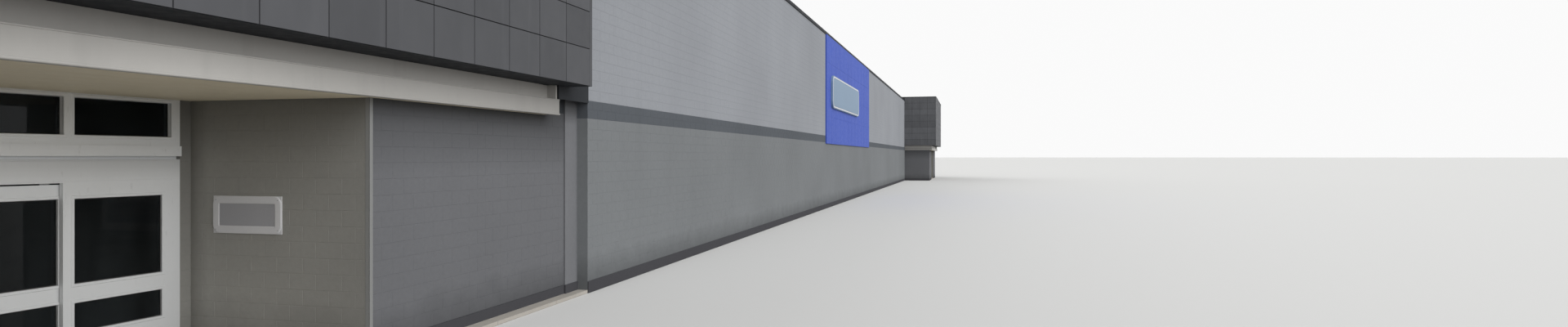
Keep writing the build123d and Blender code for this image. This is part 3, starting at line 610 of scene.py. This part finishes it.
# Mesh building. Each shape adds its corners and faces to one pair of lists.
class Shape:
    """Corners and faces that become one mesh."""

    def __init__(self):
        self.corners = []
        self.faces = []

    def add(self, corners, faces):
        start = len(self.corners)
        self.corners.extend(tuple(corner) for corner in corners)
        self.faces.extend(tuple(start + index for index in face) for face in faces)

    def cuboid(self, first, last):
        """A box between two opposite corners."""
        (x0, x1), (y0, y1), (z0, z1) = (sorted(pair) for pair in zip(first, last))
        corners = [
            (x0, y0, z0), (x1, y0, z0), (x1, y1, z0), (x0, y1, z0),
            (x0, y0, z1), (x1, y0, z1), (x1, y1, z1), (x0, y1, z1),
        ]
        faces = [
            (0, 3, 2, 1), (4, 5, 6, 7), (0, 1, 5, 4), (1, 2, 6, 5), (2, 3, 7, 6), (3, 0, 4, 7),
        ]
        self.add(corners, faces)

    def loops(self, loops, closed=False):
        """A skin through loops of as many points each. closed joins the last to the first."""
        count = len(loops[0])
        faces = []
        for number in range(len(loops) if closed else len(loops) - 1):
            here = number * count
            there = (number + 1) % len(loops) * count
            for index in range(count):
                after = (index + 1) % count
                faces.append((here + index, here + after, there + after, there + index))
        self.add([point for loop in loops for point in loop], faces)

    def cap(self, count, back=0):
        """A flat face over a loop of count points: the last one, or one that is some loops back."""
        start = len(self.corners) - count * (back + 1)
        self.faces.append(tuple(range(start, start + count)))

    def raised(self, start, along, out, length, height, proud, chamfer):
        """A shallow pad on a face: its rim lies on the face and its top stands proud."""
        corners = []
        for inset, rise in ((0.0, 0.0), (chamfer, proud)):
            for side, top in ((0, 0), (1, 0), (1, 1), (0, 1)):
                reach = length - inset if side else inset
                lift = height - inset if top else inset
                corners.append(start + along * reach + UP * lift + out * rise)
        faces = [(4, 5, 6, 7), (0, 1, 5, 4), (1, 2, 6, 5), (2, 3, 7, 6), (3, 0, 4, 7)]
        if along.cross(UP).dot(out) < 0:
            faces = [tuple(reversed(face)) for face in faces]
        self.add(corners, faces)

    def stud(self, centre, out, rings, steps):
        """A round boss on an upright face. Each ring has a distance out and a radius."""
        across = out.cross(UP)
        turns = [2 * math.pi * step / steps for step in range(steps)]
        self.loops([
            [
                centre + out * distance + (across * math.cos(turn) + UP * math.sin(turn)) * radius
                for turn in turns
            ]
            for distance, radius in rings
        ])
        self.cap(steps)


def outline(low, high, inset, axis, level):
    """Four corners round a box, drawn in by an inset, at one level along an axis."""
    across, up = [number for number in range(3) if number != axis]
    corners = []
    for side, top in ((0, 0), (1, 0), (1, 1), (0, 1)):
        corner = [
            high[across] - inset if side else low[across] + inset,
            high[up] - inset if top else low[up] + inset,
        ]
        corner.insert(axis, level)
        corners.append(corner)
    return corners


def rounded_outline(low, high, corner, inset, steps):
    """Points round a rectangle with round corners, drawn in by an inset, as pairs."""
    radius = max(corner - inset, MM)
    middles = [(first + last) / 2 for first, last in zip(low, high)]
    halves = [(last - first) / 2 - inset - radius for first, last in zip(low, high)]
    points = []
    for quarter, sides in enumerate(((1, 1), (-1, 1), (-1, -1), (1, -1))):
        across, up = (mid + side * half for mid, side, half in zip(middles, sides, halves))
        for step in range(steps + 1):
            turn = math.pi / 2 * (quarter + step / steps)
            points.append((across + radius * math.cos(turn), up + radius * math.sin(turn)))
    return points


def make_piece(name, shape, slot, body=BUILDING, bevel=0.0, smooth=False, material=None):
    """A mesh object with its finish, riding on its body."""
    mesh = bpy.data.meshes.new(name)
    mesh.from_pydata(shape.corners, [], shape.faces)
    edit = bmesh.new()
    edit.from_mesh(mesh)
    if bevel:
        bmesh.ops.bevel(
            edit, geom=edit.edges[:], offset=bevel, segments=2, profile=0.5, affect="EDGES"
        )
    bmesh.ops.recalc_face_normals(edit, faces=edit.faces[:])
    edit.to_mesh(mesh)
    edit.free()
    mesh.materials.append(finish(material or slot))
    if smooth:
        mesh.polygons.foreach_set("use_smooth", [True] * len(mesh.polygons))
    piece = bpy.data.objects.new(name, mesh)
    bpy.context.scene.collection.objects.link(piece)
    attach(piece, body)
    return piece


# Block courses over the faces of solids.
def lay_courses(shape, start, along, out, length, z_from, z_to):
    """Running bond over an upright face, from its start corner, with cut blocks at its ends."""
    sizes = bpy.context.scene.store_sizes
    joint = sizes.block_joint
    smallest = 4 * joint
    chamfer = sizes.block_relief * 0.6
    courses = max(1, round((z_to - z_from) / sizes.course_height))
    step = (z_to - z_from) / courses
    for course in range(courses):
        position = -sizes.block_length / 2 if course % 2 else 0.0
        while position < length:
            first = max(position, 0.0)
            last = min(position + sizes.block_length, length)
            if last - first > smallest:
                corner = start + along * (first + joint / 2)
                corner.z = z_from + course * step + joint / 2
                shape.raised(
                    corner, along, out, last - first - joint, step - joint,
                    sizes.block_relief, chamfer,
                )
            position += sizes.block_length


def cover(shape, box, side, z_from=None, z_to=None):
    """Block courses on one face of a solid, between two heights or over its whole height."""
    low, high = box
    faces = {
        "front": (Vector((low.x, low.y, 0)), X, -Y, high.x - low.x),
        "rear": (Vector((high.x, high.y, 0)), -X, Y, high.x - low.x),
        "left": (Vector((low.x, low.y, 0)), Y, -X, high.y - low.y),
        "right": (Vector((high.x, low.y, 0)), Y, X, high.y - low.y),
    }
    start, along, out, length = faces[side]
    lay_courses(shape, start, along, out, length, z_from or low.z, z_to or high.z)


def cover_ends(shape, node, z_from=None):
    """Block courses on both ends of the store, from its front to its rear."""
    for (low, high), side in zip(solids(node), ("left", "right")):
        whole = (Vector((low.x, FRONT, low.z)), Vector((high.x, REAR, high.z)))
        cover(shape, whole, side, z_from)


class STORE_OT_paint(bpy.types.Operator):
    """Gives every node of the frame its finish"""

    bl_idname = "store.paint"
    bl_label = "Paint the frame"

    def execute(self, context):
        for part in frame["record"]["subparts"]:
            node = NODES[part["node"]]
            node.data.materials.clear()
            node.data.materials.append(finish(part["material_slot"]))
        return {"FINISHED"}


class STORE_OT_block_courses(bpy.types.Operator):
    """Lays the block courses on the lower walls, the stripe and the entrances"""

    bl_idname = "store.block_courses"
    bl_label = "Lay block courses"

    def execute(self, context):
        for side in ("front", "rear"):
            walls = Shape()
            for box in solids(f"{side}_wall_lower"):
                cover(walls, box, side, BASE_TOP)
            make_piece(f"block_courses_{side}", walls, "lower_block")
        ends = Shape()
        cover_ends(ends, "end_walls_lower", BASE_TOP)
        make_piece("block_courses_ends", ends, "lower_block")
        self.stripe()
        self.entrances()
        self.porches()
        return {"FINISHED"}

    def stripe(self):
        stripe = Shape()
        for box in solids("stripe_front_rear"):
            cover(stripe, box, "front" if box[0].y < FRONT + MM else "rear")
        cover_ends(stripe, "stripe_ends")
        make_piece("stripe_courses", stripe, "stripe_block")

    def entrances(self):
        """Courses beside each doorway, clear of the reveal posts, and on the right porch's sides."""
        walls = Shape()
        posts = solids("reveal_posts")
        for low, high in ENTRANCE_WALLS:
            left_posts = [end.x for start, end in posts if abs(start.x - low.x) < MM]
            right_posts = [start.x for start, end in posts if abs(end.x - high.x) < MM]
            clear_low = Vector((max([low.x] + left_posts), low.y, low.z))
            clear_high = Vector((min([high.x] + right_posts), high.y, high.z))
            cover(walls, (clear_low, clear_high), "front", BASE_TOP, CEILING_LOW)
        for low, high in solids("right_entrance_side_walls"):
            side = "left" if low.x < RIGHT_CENTRE else "right"
            whole = (Vector((low.x, min(MOUTHS), low.z)), Vector((high.x, FRONT, high.z)))
            cover(walls, whole, side, BASE_TOP)
        make_piece("block_courses_entrances", walls, "entrance_block")

    def porches(self):
        porches = Shape()
        wall_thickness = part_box("front_wall_lower")[1].y - FRONT
        for low, high in solids("porch_side_walls"):
            centre = LEFT_CENTRE if low.x < 0 else RIGHT_CENTRE
            mouth = low.y - wall_thickness
            inner = high.x if high.x < centre else low.x
            film = math.copysign(0.1 * MM, centre - inner)
            # The end of the front wall shows in the porch, so it has the porch's paint.
            porches.cuboid((inner, mouth, BASE_TOP), (inner + film, low.y, CEILING_LOW))
            whole = (Vector((low.x, mouth, low.z)), high)
            cover(porches, whole, "right" if high.x < centre else "left")
        for box in solids("door_piers"):
            cover(porches, box, "front")
        make_piece("block_courses_porches", porches, "porch_block")


class STORE_OT_metal_seams(bpy.types.Operator):
    """Adds the coping joint covers, and the beads and frieze ends of the canopy bands"""

    bl_idname = "store.metal_seams"
    bl_label = "Add sheet metal seams"

    def execute(self, context):
        self.coping_joints(context.scene.store_sizes.seam_pitch)
        self.band_beads()
        self.frieze_ends()
        return {"FINISHED"}

    def coping_joints(self, pitch):
        """Covers over the coping's joints. Those on the front have a leg down its face."""
        half = 3 * MM
        rise = 0.5 * MM
        joints = Shape()
        for node, axis in (("coping_front_rear", 0), ("coping_ends", 1)):
            for low, high in solids(node):
                count = max(1, round((high[axis] - low[axis]) / pitch))
                step = (high[axis] - low[axis]) / count
                for number in range(1, count):
                    line = low[axis] + number * step
                    first = Vector((low.x + rise, low.y + rise, high.z - rise))
                    last = Vector((high.x - rise, high.y - rise, high.z + rise))
                    first[axis] = line - half
                    last[axis] = line + half
                    joints.cuboid(first, last)
                    if axis == 0 and low.y < 0:
                        joints.cuboid(
                            (line - half, low.y - rise, low.z), (line + half, low.y, high.z + rise)
                        )
        make_piece("coping_joint_covers", joints, "dark_trim")

    def band_beads(self):
        """Half-round beads along the foot and the ledge of each band."""
        radius = 1.6 * MM
        steps = 8
        turns = [math.pi * step / steps for step in range(steps + 1)]
        beads = Shape()
        for low, high in BANDS:
            for z, size in ((low.z + radius, radius), (BAND_LEDGE - radius / 2, radius / 2)):
                beads.loops([
                    [(x, low.y - size * math.sin(turn), z - size * math.cos(turn)) for turn in turns]
                    for x in (low.x, high.x)
                ])
                beads.cap(len(turns))
                beads.cap(len(turns), back=1)
        make_piece("band_beads", beads, "band_white")

    def frieze_ends(self):
        """Carries each frieze on to the ends of its ledge, with a cheek that closes the ledge."""
        inset = MM
        cheek = 4 * MM
        ends = Shape()
        for low, high in BANDS:
            face = low.y + FRIEZE_SETBACK
            block = (FRIEZE_SETBACK - inset, face, high.y)
            for outer, inward in ((low.x + inset, 1), (high.x - inset, -1)):
                for width, front, back in (block, (cheek, low.y + cheek, face)):
                    ends.cuboid(
                        (outer, front, BAND_LEDGE),
                        (outer + inward * width, back, high.z - inset / 4),
                    )
        make_piece("frieze_ends", ends, "band_white", bevel=0.3 * MM)


class STORE_OT_corner_guards(bpy.types.Operator):
    """Puts painted steel guards on the outer corners of the porches"""

    bl_idname = "store.corner_guards"
    bl_label = "Add corner guards"

    def execute(self, context):
        leg = 6 * MM
        proud = 0.6 * MM
        guards = Shape()
        for number, (low, high) in enumerate(ENTRANCE_WALLS):
            side = 1 if number % 2 else -1
            edge = (low.x if side > 0 else high.x) - side * proud
            face = low.y - proud
            for along_x, along_y in ((leg, proud), (proud, leg)):
                guards.cuboid(
                    (edge, face, BASE_TOP),
                    (edge + side * along_x, face + along_y, CEILING_LOW - MM),
                )
        make_piece(
            "porch_corner_guards", guards, "porch_block", bevel=0.2 * MM, material="corner_guard"
        )
        return {"FINISHED"}


class STORE_OT_ceilings(bpy.types.Operator):
    """Lines the porch ceilings with sheet planks"""

    bl_idname = "store.ceilings"
    bl_label = "Line the porch ceilings"

    def execute(self, context):
        thick = 0.7 * MM
        gap = 0.9 * MM
        pitch = 38 * MM
        hem = 6 * MM
        front_hem = 5.6 * MM
        under = CEILING_LOW - thick
        planks = Shape()
        for number, (mouth, door_face) in enumerate(zip(MOUTHS, DOOR_FACES)):
            left_wall, right_wall = ENTRANCE_WALLS[2 * number:2 * number + 2]
            left = left_wall[1].x + gap
            right = right_wall[0].x - gap
            rows = round((door_face - mouth) / pitch)
            step = (door_face - mouth) / rows
            for row in range(rows):
                y = mouth + row * step
                planks.cuboid((left, y + gap / 2, under), (right, y + step - gap / 2, CEILING_LOW))
            low, high = BANDS[number]
            planks.cuboid(
                (low.x + hem, low.y + front_hem, under), (high.x - hem, mouth - gap, CEILING_LOW)
            )
        make_piece("ceiling_planks", planks, "ceiling_tan", bevel=0.2 * MM)
        return {"FINISHED"}


class STORE_OT_glazing(bpy.types.Operator):
    """Fits gaskets, beads, seals, locks, covers and sills to the door sets"""

    bl_idname = "store.glazing"
    bl_label = "Fit the door sets"

    bite = 1.5 * MM
    lock_height = 0.1

    def execute(self, context):
        width = context.scene.store_sizes.gasket
        bodies = {"left_leaf_glass": "left_leaf", "right_leaf_glass": "right_leaf"}
        glass = [part["node"] for part in frame["record"]["subparts"] if part["node"].endswith("glass")]
        for node in glass:
            body = bodies.get(node, BUILDING)
            self.gaskets(node, body, width)
            self.beads(node, body)
        for word, side in (("left", -1), ("right", 1)):
            self.leaf_seals(word, side)
            self.leaf_lock(word, side)
        self.header_covers()
        self.sills()
        return {"FINISHED"}

    def gaskets(self, node, body, width):
        """A gasket on both faces of each pane."""
        proud = 0.5 * MM
        rings = Shape()
        for low, high in solids(node):
            for first, last in ((low.y - proud, low.y), (high.y, high.y + proud)):
                profile = ((0.0, first), (width, first), (width, last), (0.0, last))
                rings.loops(
                    [outline(low, high, self.bite + inset, 1, y) for inset, y in profile], closed=True
                )
        make_piece(f"{node}_gaskets", rings, "door_glass", body, material="rubber")

    def beads(self, node, body):
        """Glazing beads round each light, on the faces that no leaf slides against."""
        frame_node = node.replace("glass", "frame")
        if frame_node not in NODES:
            frame_node += "s"
        width = 4.2 * MM
        proud = 0.8 * MM
        slope = 0.6 * MM
        lip = 0.7 * MM
        set_back = 0.5 * MM
        leaf_gap = 7 * MM
        rings = Shape()
        for low, high in solids(node):
            door_face = min(DOOR_FACES, key=lambda face: abs(face - low.y))
            leaf = low.y - door_face > leaf_gap
            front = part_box(frame_node)[0].y if leaf else door_face
            profile = (
                (width, front), (width - slope, front - proud), (lip, front - proud),
                (0.0, front + set_back), (0.0, front),
            )
            rings.loops(
                [outline(low, high, self.bite - outset, 1, y) for outset, y in profile], closed=True
            )
        make_piece(f"{node}_beads", rings, "door_frame", body)

    def leaf_seals(self, word, side):
        """Seals on the edges and the foot of a leaf. Its leading edge is the one nearest the middle."""
        low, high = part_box(f"{word}_leaf_frame")
        lead, trail = (high.x, low.x) if side < 0 else (low.x, high.x)
        front = low.y + 1.2 * MM
        back = high.y - 1.2 * MM
        seals = Shape()
        seals.cuboid((lead, front, low.z), (lead - side * 0.35 * MM, back, high.z))
        seals.cuboid((trail, low.y - 1.3 * MM, low.z), (trail - side * 3 * MM, low.y, high.z))
        seals.cuboid((low.x, front, low.z - 1.4 * MM), (high.x, back, low.z))
        make_piece(f"{word}_leaf_seals", seals, "door_frame", f"{word}_leaf", material="rubber")

    def leaf_lock(self, word, side):
        """A lock's rose and cylinder on the leading stile."""
        low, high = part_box(f"{word}_leaf_frame")
        lead = high.x if side < 0 else low.x
        centre = Vector((lead + side * 6 * MM, low.y, self.lock_height))
        lock = Shape()
        for radius, back, front in ((2.2 * MM, 0.0, 0.5 * MM), (1.3 * MM, 0.5 * MM, 0.9 * MM)):
            lock.stud(centre, -Y, ((back, radius), (front, radius), (front, radius * 0.2)), 24)
        make_piece(f"{word}_leaf_lock", lock, "hanger_steel", f"{word}_leaf")

    def header_covers(self):
        """A cover plate on each header with a motion sensor at its middle."""
        rim = 1.5 * MM
        plate = 0.6 * MM
        half_pod = 12 * MM
        depth = 6 * MM
        covers = Shape()
        pods = Shape()
        for low, high in solids("door_headers"):
            covers.cuboid(
                (low.x + rim, low.y - plate, low.z + rim), (high.x - rim, low.y, high.z - rim)
            )
            x, _, z = (low + high) / 2
            pods.cuboid(
                (x - half_pod, low.y - depth, z - 3 * MM), (x + half_pod, low.y - plate, z + 4 * MM)
            )
        make_piece("header_covers", covers, "door_frame", bevel=0.4 * MM)
        make_piece("motion_sensors", pods, "door_frame", bevel=2 * MM, smooth=True, material="rubber")

    def sills(self):
        """Ribs along the thresholds."""
        count = 9
        half = 0.5 * MM
        rise = 0.3 * MM
        ribs = Shape()
        for low, high in solids("door_thresholds"):
            for number in range(count):
                y = low.y + (number + 0.5) * (high.y - low.y) / count
                ribs.cuboid((low.x + MM, y - half, high.z), (high.x - MM, y + half, high.z + rise))
        make_piece("threshold_ribs", ribs, "bare_metal")


class STORE_OT_signs(bpy.types.Operator):
    """Finishes the blue panel, the blank sign and the blank plate in the porch"""

    bl_idname = "store.signs"
    bl_label = "Finish the blank signs"

    lip = 1.2 * MM

    def execute(self, context):
        self.cassettes()
        self.sign_face()
        self.plate()
        return {"FINISHED"}

    def cassettes(self):
        """Folded cassettes over the blue panel, with open joints."""
        low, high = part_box("blue_wall_panel")
        columns = 12
        rows = 4
        gap = MM
        wide = (high.x - low.x) / columns
        tall = (high.z - low.z) / rows
        cassettes = Shape()
        for column in range(columns):
            for row in range(rows):
                start = Vector((low.x + column * wide + gap / 2, low.y, low.z + row * tall + gap / 2))
                cassettes.raised(start, X, -Y, wide - gap, tall - gap, 0.7 * MM, 0.5 * MM)
        make_piece("blue_panel_cassettes", cassettes, "blue_paint")

    def sign_face(self):
        """A retainer rim round an opal face that is crowned a little."""
        low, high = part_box("blank_sign_cabinet")
        corner = 40 * MM
        outer = 5 * MM
        inner = 11 * MM

        def ring(inset, out):
            pairs = rounded_outline((low.x, low.z), (high.x, high.z), corner, inset, 10)
            return [(x, low.y - out, z) for x, z in pairs]

        rim = Shape()
        profile = ((outer, 0.0), (outer, self.lip), (inner, self.lip), (inner, 0.0))
        rim.loops([ring(inset, out) for inset, out in profile], closed=True)
        make_piece("sign_retainer", rim, "sign_white", material="plate_white")

        face = Shape()
        crown = ((11, -0.2), (11, 0.1), (14, 0.5), (22, 0.9), (34, 1.1))
        loops = [ring(inset * MM, out * MM) for inset, out in crown]
        face.loops(loops)
        face.cap(len(loops[0]))
        face.cap(len(loops[0]), back=len(loops) - 1)
        make_piece("sign_face", face, "sign_white", smooth=True)

    def plate(self):
        """A rim, a plain field and four screws on the blank plate."""
        low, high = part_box("blank_wall_plate")
        lip = self.lip
        edge = 10 * MM
        corner = 11 * MM

        def ring(inset, out):
            pairs = rounded_outline((low.y, low.z), (high.y, high.z), corner, inset, 6)
            return [(low.x - out, y, z) for y, z in pairs]

        rim = Shape()
        profile = (
            (0.0, 0.0), (0.0, lip * 0.6), (MM, lip), (edge - MM, lip), (edge, lip * 0.6), (edge, 0.0),
        )
        rim.loops([ring(inset, out) for inset, out in profile], closed=True)
        make_piece("wall_plate_rim", rim, "plate_white")

        field = Shape()
        loops = [ring(edge, 0.0), ring(edge, 0.3 * MM)]
        field.loops(loops)
        field.cap(len(loops[0]))
        field.cap(len(loops[0]), back=1)
        make_piece("wall_plate_field", field, "plate_white", material="plate_field")

        screws = Shape()
        for y in (low.y + edge / 2, high.y - edge / 2):
            for z in (low.z + edge / 2, high.z - edge / 2):
                rings = ((0.0, 0.8 * MM), (0.3 * MM, 0.6 * MM))
                screws.stud(Vector((low.x - lip, y, z)), -X, rings, 16)
        make_piece("wall_plate_screws", screws, "hanger_steel")


class STORE_OT_roof(bpy.types.Operator):
    """Lays the roofing laps and the cant strips along the parapets"""

    bl_idname = "store.roof"
    bl_label = "Finish the roof"

    def execute(self, context):
        low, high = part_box("roof_deck")
        self.laps(low, high, context.scene.store_sizes.membrane_width)
        self.cants([(low, high)] + solids("tower_roofs"))
        return {"FINISHED"}

    def laps(self, low, high, width):
        half = 4 * MM
        margin = 8 * MM
        rise = 0.4 * MM
        count = round((high.x - low.x) / width)
        step = (high.x - low.x) / count
        laps = Shape()
        for number in range(1, count):
            x = low.x + number * step
            laps.cuboid(
                (x - half, low.y + margin, high.z), (x + half, high.y - margin, high.z + rise)
            )
        make_piece("roofing_laps", laps, "roofing")

    def cants(self, roofs):
        size = 9 * MM
        cants = Shape()
        for low, high in roofs:
            profile = ((0.0, size), (size, 0.0), (0.0, 0.0))
            cants.loops(
                [outline(low, high, inset, 2, high.z + rise) for inset, rise in profile], closed=True
            )
        make_piece("roof_cant_strips", cants, "roofing")


class STORE_OT_stage(bpy.types.Operator):
    """Sets the camera, the pale floor, the sky light and the lamps"""

    bl_idname = "store.stage"
    bl_label = "Set the stage"

    eye = (LEFT_CENTRE - 0.57, FRONT - 0.707, 0.258)
    turn = 13.4
    lens = 18.0
    shift = -8 / 1920

    def execute(self, context):
        self.camera(context.scene)
        self.floor(context.scene)
        self.world(context.scene)
        self.lamp("sun", 2.3, 60, (0.3, 1.0, -0.6))
        self.lamp("back", 1.1, 60, (-0.6, -0.8, -0.5))
        context.scene.view_settings.view_transform = "Standard"
        return {"FINISHED"}

    def camera(self, scene):
        """Street level, close to the front, looking along it towards the right entrance."""
        data = bpy.data.cameras.new("camera")
        data.sensor_width = 36.0
        data.lens = self.lens
        data.shift_y = self.shift
        data.clip_start = 0.01
        data.clip_end = 1000.0
        camera = bpy.data.objects.new("camera", data)
        camera.location = self.eye
        camera.rotation_euler = (math.radians(90), 0, math.radians(self.turn - 90))
        scene.collection.objects.link(camera)
        scene.camera = camera

    def floor(self, scene):
        """A pale floor that is darker to the light it throws back than to the eye."""
        reach = 400.0
        level = -0.5 * MM
        mesh = bpy.data.meshes.new("stage_floor")
        corners = [(-reach, -reach, level), (reach, -reach, level), (reach, reach, level)]
        mesh.from_pydata(corners + [(-reach, reach, level)], [], [(0, 1, 2, 3)])
        material, tree, shader = new_material("stage_floor", 0.9, gloss=0.1)
        pale = mixed(tree, shown(tree), (0.38, 0.37, 0.36, 1.0), (0.74, 0.74, 0.73, 1.0))
        tree.links.new(pale, shader.inputs["Base Color"])
        mesh.materials.append(material)
        floor = bpy.data.objects.new("stage_floor", mesh)
        scene.collection.objects.link(floor)

    def world(self, scene):
        """A white sky to the eye, and a softer light that is stronger from the left."""
        world = bpy.data.worlds.new("sky")
        world.use_nodes = True
        tree = world.node_tree
        background = tree.nodes["Background"]
        sky = ramp(tree, axes(tree, "Generated")["X"], -1.0, 1.0, 0.9, 0.1)
        seen = shown(tree)
        to_eye = math_node(tree, "MULTIPLY", seen, 0.96)
        unseen = math_node(tree, "SUBTRACT", 1.0, seen)
        strength = math_node(tree, "ADD", to_eye, math_node(tree, "MULTIPLY", unseen, sky))
        background.inputs["Color"].default_value = (1.0, 1.0, 1.0, 1.0)
        tree.links.new(strength, background.inputs["Strength"])
        scene.world = world

    def lamp(self, name, strength, angle, towards):
        """A distant lamp. Its angle in degrees sets how soft its shadows are."""
        data = bpy.data.lights.new(name, "SUN")
        data.energy = strength
        data.angle = math.radians(angle)
        lamp = bpy.data.objects.new(name, data)
        lamp.rotation_euler = Vector(towards).to_track_quat("-Z", "Y").to_euler()
        bpy.context.scene.collection.objects.link(lamp)


class STORE_PT_panel(bpy.types.Panel):
    """Lists the finishing steps in the sidebar"""

    bl_label = "Garden Store"
    bl_idname = "STORE_PT_panel"
    bl_space_type = "VIEW_3D"
    bl_region_type = "UI"
    bl_category = "Store"

    def draw(self, context):
        layout = self.layout
        for operator in OPERATORS:
            layout.operator(operator.bl_idname)
        for name in StoreSizes.__annotations__:
            layout.prop(context.scene.store_sizes, name)
        for name in StoreColours.__annotations__:
            layout.prop(context.scene.store_colours, name)


OPERATORS = (
    STORE_OT_stage,
    STORE_OT_paint,
    STORE_OT_block_courses,
    STORE_OT_metal_seams,
    STORE_OT_corner_guards,
    STORE_OT_ceilings,
    STORE_OT_glazing,
    STORE_OT_signs,
    STORE_OT_roof,
)
CLASSES = (StoreSizes, StoreColours) + OPERATORS + (STORE_PT_panel,)


def register():
    for kind in CLASSES:
        bpy.utils.register_class(kind)
    bpy.types.Scene.store_sizes = bpy.props.PointerProperty(type=StoreSizes)
    bpy.types.Scene.store_colours = bpy.props.PointerProperty(type=StoreColours)


def unregister():
    del bpy.types.Scene.store_colours
    del bpy.types.Scene.store_sizes
    for kind in reversed(CLASSES):
        bpy.utils.unregister_class(kind)


def main():
    register()
    for operator in OPERATORS:
        group, name = operator.bl_idname.split(".")
        getattr(getattr(bpy.ops, group), name)()


if __name__ == "__main__":
    main()
